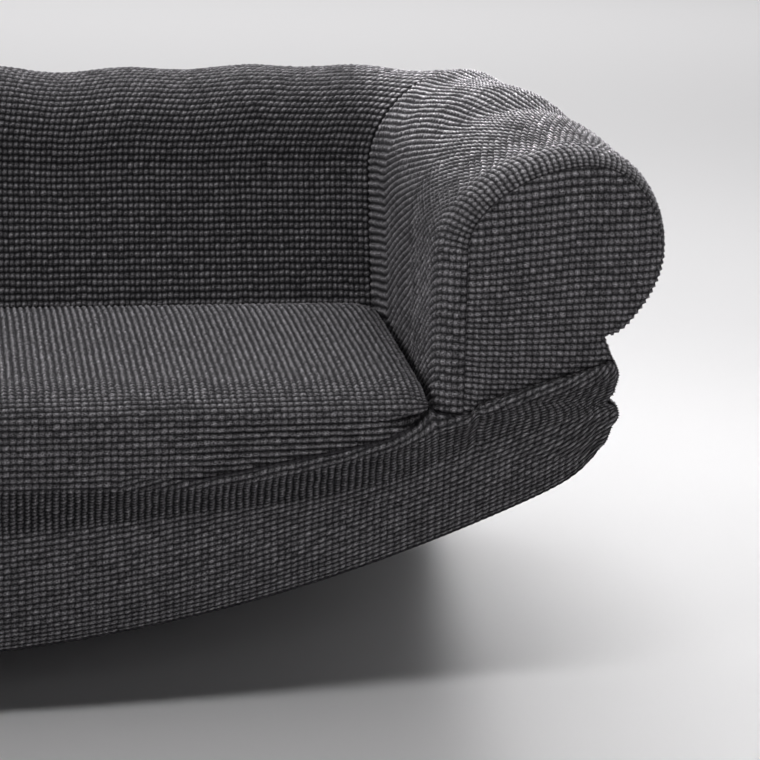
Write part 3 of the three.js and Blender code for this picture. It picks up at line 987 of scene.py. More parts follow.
    def skirt(self, v: Array, share: Array) -> Array:
        """Gives points of the skirt, which hangs from the seat's edge or the fold to the hem.

        Args:
            v: 1 at the skirt's top to 2 at its hem.
            share: Share of the way to an arm's foot, then past 1 on to the outer corner.

        Returns:
            Points along the last axis.
        """
        drop = np.clip(v - 1, 0, 1)
        away = np.abs(share)
        side = np.where(share > 0, 1.0, -1.0)
        edge = float(self.edge(0.0))
        z = np.full(np.shape(share), self.halfway_down)
        for _ in range(self.rounds):
            right_end, left_end = self.end(z, self.right), self.end(z, self.left)
            end = np.where(share > 0, right_end, left_end)
            x = side * np.where(away <= 1, edge * away, blend(edge, end, away - 1))
            z = blend(self.top(x), self.hem(x), drop)
        below = self.top(x) - z
        tuck = np.where(away > 1, self.foot_tuck * bell(below / self.foot_tuck_height), 0.0)
        by_edge = np.where(away < 1, bell(below / self.edge_height), 0.0)
        relief = np.where(share > 0, self.relief(x, z), 0.0)
        y = blend(self.bulge(x, z) + relief, SEAT_FRONT_Y, by_edge) + self.dip(x, below) + tuck
        return np.stack([x, y, z], axis=-1)

    def point(self, a: Array, b: Array) -> Array:
        """Gives points of the whole panel: the seat up to 1, then the skirt.

        Args:
            a: 0 at the rear crevice, 1 at the seat's front, 2 at the hem.
            b: Share across, 1 at an arm's foot and 2 at the outer corner.

        Returns:
            Points along the last axis.
        """
        seat = self.seat(np.clip(a, 0, 1), np.clip(b, -1, 1))
        skirt = self.skirt(np.clip(a, 1, 2), b)
        return np.where((a < 1)[..., None], seat, skirt)

    def reach(self, a: Array, b: Array) -> tuple[Array, Array, Array, Array]:
        """Gives small steps to either side that stay on the T.

        Args:
            a: The first parameter.
            b: The second parameter.

        Returns:
            The lower and upper first parameter, then the lower and upper second one.
        """
        wide = np.where(a < 1, 1.0, 2.0)
        start = np.where(np.abs(b) > 1, 1.0, 0.0)
        return (
            np.maximum(a - self.step, start),
            np.minimum(a + self.step, 2.0),
            np.maximum(b - self.step, -wide),
            np.minimum(b + self.step, wide),
        )

    def keep(self, layer: Layer) -> Array:
        """Leaves out the cells beside the T's stem.

        Args:
            layer: The layer.

        Returns:
            True for each cell that is made.
        """
        above = layer.a[:-1, :-1] < 1 - TINY
        wide = np.maximum(np.abs(layer.b[:-1, :-1]), np.abs(layer.b[:-1, 1:])) > 1 + TINY
        return ~(above & wide)

    def shares(self, pitch: float) -> Array:
        """Spaces columns across, with one exactly at each arm's foot.

        Args:
            pitch: Distance between columns.

        Returns:
            Shares from -2 to 2.
        """
        edge = float(self.edge(0.0))
        middle = 2 * round(edge / pitch)
        beyond = round((self.corner() - edge) / pitch)
        right = np.linspace(1, 2, beyond + 1)[1:]
        return np.concatenate([-right[::-1], np.linspace(-1, 1, middle + 1), right])

    def across(self, share: Array) -> Array:
        """Gives about where a column of the skirt hangs.

        Args:
            share: The column's share, 1 at an arm's foot and 2 at the outer corner.

        Returns:
            Its distance from the middle, to the right.
        """
        away = np.abs(share)
        edge = float(self.edge(0.0))
        ends = np.where(share > 0, self.corner(), float(self.end(np.zeros(1), self.left)[0]))
        return np.sign(share) * np.where(away <= 1, edge * away, blend(edge, ends, away - 1))

    def hang(self, x: Array, up: Array) -> Array:
        """Gives the height at which a row of the skirt hangs.

        Going up from the hem band, the last rows are small, the rows over them full size, then
        comes a band that is squeezed by the pull, the fold's ridge, the rows that are hidden in
        the fold and the level rows over it. Away to the left all rows are even.

        Args:
            x: Distance from the middle, to the right.
            up: The row's number, counted upwards from the hem band.

        Returns:
            Its height over the level hem.
        """
        pulled, to_right = ramp(x, *PULLED_FROM), ramp(x, *CLOSER_FROM)
        small = blend(EVEN_ROW, LAST_ROW, pulled)
        full = blend(EVEN_ROW, blend(*FULL_ROW, to_right), pulled)
        wide = blend(EVEN_ROW, blend(*OVER_ROW, to_right), pulled)
        fold = fold_height(x)
        band_top = np.minimum(np.interp(x, BAND_X, BAND_TOP), fold)
        band_foot = np.interp(x, BAND_X, BAND_FOOT)
        start = self.hem(x) + HEM_BAND
        full_rows = (band_foot - start) / full - LAST_ROWS * small / full
        ridge_rows = (fold - band_top) / wide
        above = np.maximum(CREVICE - fold, 0) / wide
        room = SKIRT_ROWS - LAST_ROWS - full_rows - ridge_rows - above
        band_rows = np.minimum(room, (band_top - band_foot) / SQUEEZED)
        lip = np.minimum(LIP, (room - band_rows) * wide)
        hidden = room - band_rows + lip / wide
        zones = (
            (LAST_ROWS, small),
            (full_rows, full),
            (band_rows, (band_top - band_foot) / band_rows),
            (ridge_rows - lip / wide, wide),
            (hidden, lip / np.maximum(hidden, TINY)),
            (above, wide),
        )
        height = start
        for rows, pitch in zones:
            height = height + pitch * np.clip(up, 0, rows)
            up = up - rows
        return height

    def outer(self) -> Layer:
        """Lays rows of bubbles from the rear crevice over the seat and down to the hem.

        Returns:
            The knitted layer.
        """
        share = self.shares(self.gauge.column / 2)
        seat_v = self.seat_rows()
        down = np.arange(1, 2 * SKIRT_ROWS + 1) / 2
        seat_row = (np.arange(len(seat_v)) - len(seat_v) + 1) / 2
        row = np.concatenate([seat_row, down, SKIRT_ROWS + HEM_NODES])
        x = self.across(share)
        top, hem = self.top(x)[None, :], self.hem(x)[None, :]
        in_band = hem + HEM_BAND * (1 - HEM_NODES[:, None] / HEM_NODES[-1])
        z = np.concatenate([self.hang(x[None, :], SKIRT_ROWS - down[:, None]), in_band])
        drop = np.clip((top - z) / (top - hem), 0, 1)
        drop[-1] = 1.0
        wide = (len(seat_v), len(share))
        a = np.concatenate([np.broadcast_to(seat_v[:, None], wide), 1 + drop])
        b = np.broadcast_to(share, a.shape)
        over = z - fold_height(x)[None, :]
        band_top = np.interp(x, BAND_X, BAND_TOP)[None, :]
        band_foot = np.interp(x, BAND_X, BAND_FOOT)[None, :]
        squeezed = ramp(z, band_foot - BAND_EDGE, band_foot + BAND_EDGE)
        squeezed = squeezed * (1 - ramp(z, band_top - BAND_EDGE, band_top + BAND_EDGE))
        lost = self.band_loss * ramp(x, *self.band_until)
        squeezed = squeezed * ramp(x, *self.band_from) * (1 - lost)
        stretched = ramp(over, *self.stretched_above) * ramp(x, *self.stretched_from) * self.stretch
        in_fold = (over < ON_SEAM) & (over > -LIP - ON_SEAM)
        in_fold = in_fold & (x > HIDDEN_FROM) & (x < HIDDEN_TO)
        none = np.zeros(wide)
        hidden = np.concatenate([none > 0, in_fold])
        cuts = [
            (Cut.RIBBED, ramp(1 - a, *self.ribbed_behind)),
            (Cut.RIBBED, np.concatenate([none, squeezed])),
            (Cut.STRETCHED, np.concatenate([none, stretched])),
        ]
        return knit_layer(a, b, np.arange(len(share)) / 2 - 0.5, row, cuts, hidden)

    def seat_rows(self) -> Array:
        """Spaces rows evenly along the seat's middle, from the rear crevice to the skirt's top.

        Returns:
            The first parameter of each row of nodes.
        """
        v = np.linspace(0, 1, SEAT_SAMPLES)
        line = self.seat(v, np.zeros_like(v))
        lengths = np.concatenate([[0.0], np.cumsum(np.linalg.norm(np.diff(line, axis=0), axis=1))])
        count = 2 * round(lengths[-1] / self.gauge.row) + 1
        rows = np.interp(np.linspace(0, lengths[-1], count + 1), lengths, v)
        rows[-1] = 1.0
        return rows

    def inner(self) -> Layer:
        """Lays the plain side.

        Returns:
            The plain layer.
        """
        share = self.shares(self.plain_pitch)
        rear, flat, front, above, below = self.plain_rows
        seat = np.concatenate([
            np.linspace(0, SEAT_REAR_SHARE, rear),
            np.linspace(SEAT_REAR_SHARE, SEAT_FRONT_SHARE, flat)[1:],
            np.linspace(SEAT_FRONT_SHARE, 1, front)[1:],
        ])
        x = self.across(share)
        top, hem = self.top(x), self.hem(x)
        fold = np.minimum(fold_height(x), top)
        over = blend(top, fold, np.linspace(0, 1, above)[1:, None])
        under = blend(fold - LIP, hem, np.linspace(0, 1, below)[:, None])
        drop = (top - np.concatenate([over, under])) / (top - hem)
        seat = np.broadcast_to(seat[:, None], (len(seat), len(share)))
        a = np.concatenate([seat, 1 + np.clip(drop, 0, 1)])
        return Layer.plain(a, np.array(np.broadcast_to(share, a.shape)))


# ---------- the arms' fronts ----------

FRONT_DOME = 9.0  # how far out an arm's front domes


@dataclass
class FrontCloth(Cloth):
    """The panel over the front of an arm, drawn on its own X and Z."""

    name: str
    mirrored: bool
    arm: ArmCloth
    gauge: Gauge = Gauge(8.4, 7.8, 2.1, 0.1)
    step = 0.5
    nodes_to_bubble: int = 4
    plain_pitch: float = 16.0
    lifted_foot: float = 374.0  # height of the pulled-up panel's outer corner
    hub_shift: tuple[float, float] = (43.0, 20.0)  # from the seam's middle to where radii meet
    off_hub: tuple[float, float] = (0.37, 0.21)  # keeps nodes off that place, in nodes
    seam_nodes: int = 600
    foot_nodes: int = 60
    last_station: float = 5.999  # just above the hem
    flatness: int = 4  # power to which the dome falls towards the seam
    snap: float = 0.006  # how close to the seam a node is moved on to it, as a share
    widest: float = 1.05  # how far nodes are laid, as a share of the longest radius
    least_share: float = 0.5  # keeps the hub from being moved
    roll_middle: float = 833.0  # where the middle column stands
    tilts: tuple[float, float] = (-0.07, 0.12)  # of the rows, near the foot and near the top
    tilt_from: tuple[float, float] = (320.0, 500.0)
    level_from: tuple[float, float] = (-20.0, 60.0)  # where rows level off, out from the middle
    level_share: float = 0.7  # how much of their tilt goes there
    row_growth: float = 0.0035  # how much wider rows get, for each millimetre up

    def __post_init__(self) -> None:
        """Works out the seam round the panel and its middle."""
        station = np.linspace(0, self.last_station, self.seam_nodes)
        seam = self.arm.spot(station, np.zeros_like(station))[:, [0, 2]]
        corner_height = np.array([self.lifted_foot if self.arm.lifted else CREVICE])
        low = self.foot(SeatCloth().end(corner_height, self.arm))[0] + SEAM_GAP
        seam = seam[~((station > AT_OUTSIDE) & (seam[:, 1] < low))]
        x = np.linspace(seam[-1, 0], seam[0, 0], self.foot_nodes)[1:-1]
        bottom = np.stack([x, self.foot(x) + SEAM_GAP], axis=-1)
        loop = np.concatenate([seam, bottom])
        self.middle = loop.mean(axis=0) - np.array(self.hub_shift)
        away = loop - self.middle
        away *= 1 - SEAM_GAP / np.linalg.norm(away, axis=1, keepdims=True)
        angle = np.arctan2(away[:, 1], away[:, 0])
        order = np.argsort(angle)
        self.angles = angle[order]
        self.radii = np.linalg.norm(away, axis=1)[order]

    def foot(self, x: Array) -> Array:
        """Gives the lower edge's height: the fold's on the pulled side, or the crevice's."""
        return fold_height(x) if self.arm.lifted else np.full_like(x, CREVICE)

    def polar(self, a: Array, b: Array) -> tuple[Array, Array]:
        """Turns a place on the panel into an angle and a share of the way to the seam.

        Args:
            a: Distance along X.
            b: Height.

        Returns:
            The angle round the middle, and the share.
        """
        x, z = a - self.middle[0], b - self.middle[1]
        angle = np.arctan2(z, x)
        radius = np.interp(angle, self.angles, self.radii, period=2 * math.pi)
        return angle, np.hypot(x, z) / radius

    def point(self, a: Array, b: Array) -> Array:
        """Gives points that dome out: one minus a power of the share of the way to the seam."""
        share = self.polar(a, b)[1]
        return np.stack([a, -FRONT_DOME * (1 - np.clip(share, 0, 1) ** self.flatness), b], axis=-1)

    def reach(self, a: Array, b: Array) -> tuple[Array, Array, Array, Array]:
        """Gives small steps to either side."""
        return a - self.step, a + self.step, b - self.step, b + self.step

    def perimeter(self, a: Array, b: Array) -> Array:
        """Measures how far round the seam a node is, as an angle."""
        angle, share = self.polar(a, b)
        return np.where(share > 1 - ON_SEAM, angle, np.nan)

    def around(self) -> float:
        """Gives a whole turn."""
        return 2 * math.pi

    def keep(self, layer: Layer) -> Array:
        """Keeps the cells that have a node inside the seam."""
        inside = ~(self.polar(layer.a, layer.b)[1] > 1 - ON_SEAM)
        return inside[:-1, :-1] | inside[1:, :-1] | inside[:-1, 1:] | inside[1:, 1:]

    def lattice(self, across: float, up: float) -> tuple[Array, Array, Array]:
        """Spaces nodes over the panel and moves those outside or close to its seam on to it.

        Args:
            across: Distance between nodes along X.
            up: Distance between nodes up the panel.

        Returns:
            Both parameters, and which nodes are on the seam.
        """
        reach = self.radii.max() * self.widest
        lines = []
        for middle, off, pitch in zip(self.middle, self.off_hub, (across, up)):
            count = math.ceil(reach / pitch)
            lines.append(middle + (np.arange(-count, count + 1) + off) * pitch)
        a, b = np.meshgrid(*lines, indexing="ij")
        share = self.polar(a, b)[1]
        on_seam = share > 1 - self.snap
        shrink = np.where(on_seam, 1 / np.maximum(share, self.least_share), 1)
        a = self.middle[0] + (a - self.middle[0]) * shrink
        b = self.middle[1] + (b - self.middle[1]) * shrink
        return a, b, on_seam

    def knitted(self, a: Array, b: Array) -> tuple[Array, Array]:
        """Numbers the columns and rows over the panel.

        Rows rise towards the outside near the top and fall a little near the foot. They grow
        wider going up: a row's number is its height over a distance that grows with the height.

        Args:
            a: Distance along X.
            b: Height.

        Returns:
            The column and the row at each place.
        """
        across = a - self.roll_middle
        tilt = blend(*self.tilts, ramp(b, *self.tilt_from))
        tilt = tilt * (1 - self.level_share * ramp(across, *self.level_from))
        up = b - tilt * across - CREVICE
        return across / self.gauge.column, up / (self.gauge.row + self.row_growth * up)

    def outer(self) -> Layer:
        """Lays rows of bubbles over the panel, four nodes to a bubble.

        Returns:
            The knitted layer.
        """
        nodes = self.nodes_to_bubble
        a, b, outside = self.lattice(self.gauge.column / nodes, self.gauge.row / nodes)
        zero = np.zeros_like(a)
        column, row = self.knitted(a, b)
        return Layer(
            a=a,
            b=b,
            column=column,
            row=row,
            column_cut=zero + Cut.BUBBLED.value[0],
            row_cut=zero + Cut.BUBBLED.value[1],
            level=np.where(outside, Level.FLUSH.value, np.nan),
            hem=zero,
        )

    def inner(self) -> Layer:
        """Lays the plain side."""
        a, b, _ = self.lattice(self.plain_pitch, self.plain_pitch)
        return Layer.plain(a, b)


# ---------- closed sheets ----------

WELD_PARTS = 1000  # vertices in the same thousandth of a millimetre are one


@dataclass
class SheetMaker:
    """Turns a panel's two layers into one closed mesh in the frame."""

    origin: tuple[float, float, float]
    chance: np.random.Generator = field(default_factory=lambda: np.random.default_rng(5))

    @staticmethod
    def cells(shape: tuple[int, int], keep: Array) -> Array:
        """Splits a grid's cells into triangles.

        Args:
            shape: The grid's size.
            keep: Which cells are made.

        Returns:
            Node numbers, three to a triangle.
        """
        index = np.arange(shape[0] * shape[1]).reshape(shape)
        low, right = index[:-1, :-1][keep], index[1:, :-1][keep]
        top, far = index[:-1, 1:][keep], index[1:, 1:][keep]
        return np.concatenate([np.stack([low, right, far], 1), np.stack([low, far, top], 1)])

    @staticmethod
    def loop(triangles: Array, at: Array) -> tuple[Array, Array]:
        """Orders the vertices round a layer's edge, from each along its open edge to the next.

        The steps left to the end of the loop are counted for all vertices at once, by doubling
        the stride of each vertex in every round.

        Args:
            triangles: The layer's triangles.
            at: How far round the edge each vertex is.

        Returns:
            The vertices in order, and how far round each one is, never falling.
        """
        start, end = triangles.ravel(), triangles[:, [1, 2, 0]].ravel()
        single = ~np.isin(start * len(at) + end, end * len(at) + start)
        start, end = start[single], end[single]
        first = start[np.argmin(at[start])]
        follow, steps = np.arange(len(at)), np.zeros(len(at), dtype=np.int64)
        follow[start], steps[start] = end, 1
        last = start[end == first][0]
        follow[last], steps[last] = last, 0
        for _ in range(len(start).bit_length()):
            steps += steps[follow]
            follow = follow[follow]
        ring = start[np.argsort(-steps[start])]
        if np.diff(at[ring]).clip(-1, 1).sum() < 0:
            ring = np.concatenate([ring[:1], ring[:0:-1]])
        return ring, np.maximum.accumulate(at[ring])

    @staticmethod
    def rim(outer: Array, outer_at: Array, inner: Array, inner_at: Array, around: float) -> Array:
        """Joins two loops that run round the same edge, each with its own spacing.

        Args:
            outer: The first loop's vertices, in order.
            outer_at: How far round each one is.
            inner: The second loop's vertices.
            inner_at: How far round each one is.
            around: The whole way round.

        Returns:
            Vertex numbers, three to a triangle.
        """
        first, first_at = np.append(outer, outer[0]), np.append(outer_at, outer_at[0] + around)
        second, second_at = np.append(inner, inner[0]), np.append(inner_at, inner_at[0] + around)
        reached = np.searchsorted(second_at[1:], first_at[1:], side="left")
        passed = np.searchsorted(first_at[1:], second_at[1:], side="right")
        return np.concatenate([
            np.stack([first[1:], first[:-1], second[reached]], 1),
            np.stack([second[:-1], second[1:], first[passed]], 1),
        ])

    def make(self, cloth: Cloth) -> bpy.types.Object:
        """Builds a panel.

        Args:
            cloth: The panel's surface and layers.

        Returns:
            The finished object.
        """
        spots, faces, loops, start = [], [], [], 0
        layers = (cloth.outer(), cloth.inner())
        for side, layer in enumerate(layers):
            base = cloth.point(layer.a, layer.b)
            facing = cloth.normal(layer.a, layer.b)
            place = cloth.perimeter(layer.a, layer.b)
            if side == 0:
                lift = (layer.relief() - Level.FLUSH.value) * cloth.gauge.height
                loose = np.isnan(layer.level) & np.isnan(place)
                shake = self.chance.normal(0, cloth.gauge.shake, base.shape) * loose[..., None]
                moved = base + facing * lift[..., None] + shake
            else:
                moved = base - facing * SHEET
            key = np.round(base.reshape(-1, 3) * WELD_PARTS).astype(np.int64)
            _, first, same = np.unique(key, axis=0, return_index=True, return_inverse=True)
            cells = self.cells(layer.a.shape, cloth.keep(layer))
            welded = same.reshape(-1)[cells]
            whole = (welded != np.roll(welded, 1, axis=1)).all(axis=1)
            cells, welded = cells[whole], welded[whole]
            on_edge = ~np.isnan(place).reshape(-1)
            at = np.full(len(first), np.nan)
            at[same.reshape(-1)[on_edge]] = place.reshape(-1)[on_edge]
            ring, ring_at = self.loop(welded, at)
            loops.append((ring + start, ring_at))
            spots.append(moved.reshape(-1, 3)[first])
            faces.append((welded + start, cells))
            start += len(first)
        (outer_ring, outer_at), (inner_ring, inner_at) = loops
        rim = self.rim(outer_ring, outer_at, inner_ring, inner_at, cloth.around())
        points = np.concatenate(spots)
        triangles = np.concatenate([faces[0][0], faces[1][0][:, ::-1], rim])
        knit = self.corner_values(faces[0][1], layers[0], len(triangles))
        if cloth.mirrored:
            points[:, 0] *= -1
        points = (points - np.array(self.origin)) * MM
        return self.mesh(cloth.name, points, triangles, knit)

    @staticmethod
    def corner_values(cells: Array, layer: Layer, count: int) -> Array:
        """Reads the knit's values at each corner of the knitted triangles.

        Args:
            cells: Node numbers of those triangles.
            layer: The knitted layer.
            count: Number of triangles in the whole mesh.

        Returns:
            Column, row, both cuts and the share of the hem's near-black, which also paints shade into
            seams and the fold, for every corner of the mesh.
        """
        stack = np.stack([layer.column, layer.row, layer.column_cut, layer.row_cut, layer.hem], -1)
        values = np.empty((count, 3, 5))
        values[:] = (*PLAIN_PLACE, *Cut.BUBBLED.value, 0)
        values[: len(cells)] = stack.reshape(-1, 5)[cells]
        return values

    @staticmethod
    def mesh(name: str, points: Array, triangles: Array, knit: Array) -> bpy.types.Object:
        """Makes the Blender object, with its faces outwards.

        Args:
            name: The piece's name.
            points: Its vertices in metres.
            triangles: Its faces.
            knit: The knit's values at every corner.

        Returns:
            The object.
        """
        first, second, third = (points[triangles[:, k]] for k in range(3))
        if np.einsum("ij,ij->i", first, np.cross(second, third)).sum() < 0:
            triangles, knit = triangles[:, ::-1], knit[:, ::-1]
        used, numbers = np.unique(triangles, return_inverse=True)
        data = bpy.data.meshes.new(name)
        data.from_pydata(points[used].tolist(), [], numbers.reshape(-1, 3).tolist())
        layer = data.uv_layers.new(name="Knit")
        layer.uv.foreach_set("vector", knit[..., :2].astype(np.float32).ravel())
        # the last attribute carries the hem's near-black share, which also paints shade into seams and
        # the fold
        for title, part in (("column_cut", 2), ("row_cut", 3), ("hem_and_shade_paint", 4)):
            values = data.attributes.new(title, "FLOAT", "CORNER")
            values.data.foreach_set("value", knit[..., part].astype(np.float32).ravel())
        data.polygons.foreach_set("use_smooth", np.ones(len(triangles), dtype=bool))
        data.validate()
        data.update()
        piece = bpy.data.objects.new(name, data)
        bpy.context.scene.collection.objects.link(piece)
        return piece


# ---------- the knit's finish ----------


class Shade:
    """A shader value that takes plain arithmetic."""

    def __init__(self, tree: bpy.types.NodeTree, socket: bpy.types.NodeSocket) -> None:
        """Wraps an output socket of a tree."""
        self.tree = tree
        self.socket = socket

    def combine(self, operation: str, *values: "Shade | float") -> "Shade":
        """Adds a Math node.

        Args:
            operation: The Math node's operation.
            values: Its inputs.

        Returns:
            The result.
        """
        node = self.tree.nodes.new("ShaderNodeMath")
        node.operation = operation
        for place, value in enumerate(values):
            if isinstance(value, Shade):
                self.tree.links.new(value.socket, node.inputs[place])
            else:
                node.inputs[place].default_value = value
        return Shade(self.tree, node.outputs[0])

    def __add__(self, other: "Shade | float") -> "Shade":
        """Adds."""
        return self.combine("ADD", self, other)

    __radd__ = __add__

    def __sub__(self, other: "Shade | float") -> "Shade":
        """Takes away."""
        return self.combine("SUBTRACT", self, other)

    def __rsub__(self, other: "Shade | float") -> "Shade":
        """Takes this away from another value."""
        return self.combine("SUBTRACT", other, self)

    def __mul__(self, other: "Shade | float") -> "Shade":
        """Multiplies."""
        return self.combine("MULTIPLY", self, other)

    __rmul__ = __mul__

    def floor(self) -> "Shade":
        """Rounds down to the whole number below."""
        return self.combine("FLOOR", self)

    def exponent(self) -> "Shade":
        """Raises e to this power."""
        return self.combine("EXPONENT", self)


@dataclass(frozen=True)
class KnitFinish:
    """Dark charcoal bubble knit: matt yarn, with near-black painted shade between the bubbles and a
    painted highlight on their tops.
    """

    # the bubbles' tops: the knit's own colour, lifted to carry a painted highlight
    top: tuple[float, float, float] = (0.262, 0.253, 0.266)
    # near-black painted shade in the grooves between bubbles
    groove_shade: tuple[float, float, float] = (0.006, 0.006, 0.007)
    # near-black of the hem band, also used as painted shade where nodes are drawn in to a seam or the
    # fold
    hem: tuple[float, float, float] = (0.010, 0.008, 0.012)
    roughness: float = 0.9
    specular: float = 0.1
    sheen: float = 0.06
    sheen_roughness: float = 0.5
    sheen_tint: tuple[float, float, float] = (0.95, 0.9, 1.0)
    bump: float = 0.0022  # height of a bubble's bump, in metres
    steepness: float = 9.0  # how fast a bubble's colour darkens from its top into painted shade
    slant: float = 0.25  # how far bubbles lean
    drift: float = 0.3  # how quickly bubbles wander, in waves to a bubble
    wander: float = 0.35  # how far they do
    chance: float = 0.6  # how much lighter or darker one bubble is than the next, at random
    checker: float = 0.25  # and in turn
    yarn: tuple[float, float] = (3.6, 6.0)  # waves of yarn to a bubble, across and down
    fray: float = 4.0  # how much the yarn mottles the colour
    yarn_relief: float = 0.25  # how high it stands on a bubble
    crown_highlight: float = 1.9  # how much the painted highlight brightens the knit over an arm's crown
    # where that painted highlight lies: out to the arm, back from its front and up its roll
    crown: tuple[tuple[float, float], ...] = ((0.66, 0.74), (-0.43, -0.37), (0.53, 0.62))

    @staticmethod
    def node(tree: bpy.types.NodeTree, kind: str, settings: dict, inputs: dict) -> bpy.types.Node:
        """Adds a node.

        Args:
            tree: The tree.
            kind: The node's type.
            settings: Its properties by name.
            inputs: Its inputs by name or number, as values, shades or sockets.

        Returns:
            The node.
        """
        made = tree.nodes.new(kind)
        for name, value in settings.items():
            setattr(made, name, value)
        for name, value in inputs.items():
            if isinstance(value, Shade):
                tree.links.new(value.socket, made.inputs[name])
            elif isinstance(value, bpy.types.NodeSocket):
                tree.links.new(value, made.inputs[name])
            else:
                made.inputs[name].default_value = value
        return made

    def noise(
        self, tree: bpy.types.NodeTree, across: Shade, down: Shade, detail: float
    ) -> bpy.types.Node:
        """Adds flat noise.

        Args:
            tree: The tree.
            across: Its first coordinate.
            down: Its second coordinate.
            detail: How many finer layers it has.

        Returns:
            The noise node.
        """
        place = self.node(tree, "ShaderNodeCombineXYZ", {}, {0: across, 1: down})
        return self.node(tree, "ShaderNodeTexNoise", {"noise_dimensions": "2D"}, {
            "Vector": place.outputs[0], "Scale": 1.0, "Detail": detail,
        })

    def rolled(self, tree: bpy.types.NodeTree) -> Shade:
        """Gives where a painted highlight brightens the knit over the crown of an arm's roll.

        Three soft steps are multiplied: out to the arm, back from its front edge and up its roll.

        Args:
            tree: The tree.

        Returns:
            0 off the crown to 1 on it.
        """
        place = self.node(tree, "ShaderNodeTexCoord", {}, {})
        parts = self.node(tree, "ShaderNodeSeparateXYZ", {}, {0: place.outputs["Object"]})
        across, back, up = (Shade(tree, part) for part in parts.outputs)
        out = across.combine("ABSOLUTE", across)
        steps = []
        for distance, (start, end) in zip((out, back, up), self.crown):
            soft = self.node(tree, "ShaderNodeMapRange", {"interpolation_type": "SMOOTHSTEP"}, {
                "Value": distance, "From Min": start, "From Max": end,
            })
            steps.append(Shade(tree, soft.outputs[0]))
        return steps[0] * steps[1] * steps[2]

    def material(self) -> bpy.types.Material:
        """Builds the material.

        Returns:
            The knit.
        """
        made = bpy.data.materials.new("charcoal_bubble_knit")
        made.use_nodes = True
        tree = made.node_tree
        shader = tree.nodes["Principled BSDF"]
        place = self.node(tree, "ShaderNodeUVMap", {"uv_map": "Knit"}, {})
        parts = self.node(tree, "ShaderNodeSeparateXYZ", {}, {0: place.outputs[0]})
        column, row = Shade(tree, parts.outputs[0]), Shade(tree, parts.outputs[1])
        kinds = ("column_cut", "row_cut", "hem_and_shade_paint")
        read = [self.node(tree, "ShaderNodeAttribute", {"attribute_name": kind}, {}) for kind in kinds]
        column_cut, row_cut, hem = (Shade(tree, node.outputs["Fac"]) for node in read)
        drift = self.noise(tree, column * self.drift, row * self.drift, 1.0).outputs["Color"]
        astray = self.node(tree, "ShaderNodeSeparateXYZ", {}, {0: drift})
        column = column + (Shade(tree, astray.outputs[0]) - 0.5) * self.wander
        row = row + (Shade(tree, astray.outputs[1]) - 0.5) * self.wander
        whole_column, whole_row = (column + 0.5).floor(), (row + 0.5).floor()
        down = row - whole_row
        across = column - whole_column + down * self.slant
        depth = column_cut * across * across + row_cut * down * down
        height = (depth * -self.steepness).exponent()
        cell = self.node(tree, "ShaderNodeCombineXYZ", {}, {0: whole_column, 1: whole_row})
        speck = self.node(tree, "ShaderNodeTexWhiteNoise", {"noise_dimensions": "2D"}, {
            "Vector": cell.outputs[0],
        })
        chance = Shade(tree, speck.outputs["Value"])
        strands = self.noise(tree, column * self.yarn[0], row * self.yarn[1], 3.0)
        yarn = Shade(tree, strands.outputs["Fac"])
        odd = (whole_column + whole_row).combine("PINGPONG", whole_column + whole_row, 1.0)
        uneven = 1 - self.chance / 2 + chance * self.chance + (odd - 0.5) * self.checker
        # The colour runs from near-black painted shade in the grooves to the bubble's light top, which
        # carries a painted highlight, with random tone and yarn mottling over it.
        tone_and_painted_light = height * uneven * (1 + (yarn - 0.5) * self.fray)
        # A painted highlight brightens the bubbles' tops over the crowns of the arms' rolls.
        tone_and_painted_light = tone_and_painted_light.combine("MAXIMUM", tone_and_painted_light, 0.0) * (1 + self.rolled(tree) * height * self.crown_highlight)
        colour = self.node(tree, "ShaderNodeMix", {"data_type": "RGBA", "clamp_factor": False}, {
            0: tone_and_painted_light, 6: (*self.groove_shade, 1), 7: (*self.top, 1),
        })
        # mixes in the hem's near-black, which also paints shade into seams and the fold
        with_hem_and_shade = self.node(tree, "ShaderNodeMix", {"data_type": "RGBA"}, {
            0: hem, 6: colour.outputs[2], 7: (*self.hem, 1),
        })
        tree.links.new(with_hem_and_shade.outputs[2], shader.inputs["Base Color"])
        relief = self.node(tree, "ShaderNodeBump", {}, {
            "Strength": 1.0, "Distance": self.bump,
            "Height": (height + yarn * self.yarn_relief) * (1 - hem),
        })
        tree.links.new(relief.outputs[0], shader.inputs["Normal"])
        shader.inputs["Roughness"].default_value = self.roughness
        shader.inputs["Specular IOR Level"].default_value = self.specular
        shader.inputs["Sheen Weight"].default_value = self.sheen
        shader.inputs["Sheen Roughness"].default_value = self.sheen_roughness
        shader.inputs["Sheen Tint"].default_value = (*self.sheen_tint, 1)
        return made


# ---------- the whole cover and its setting ----------


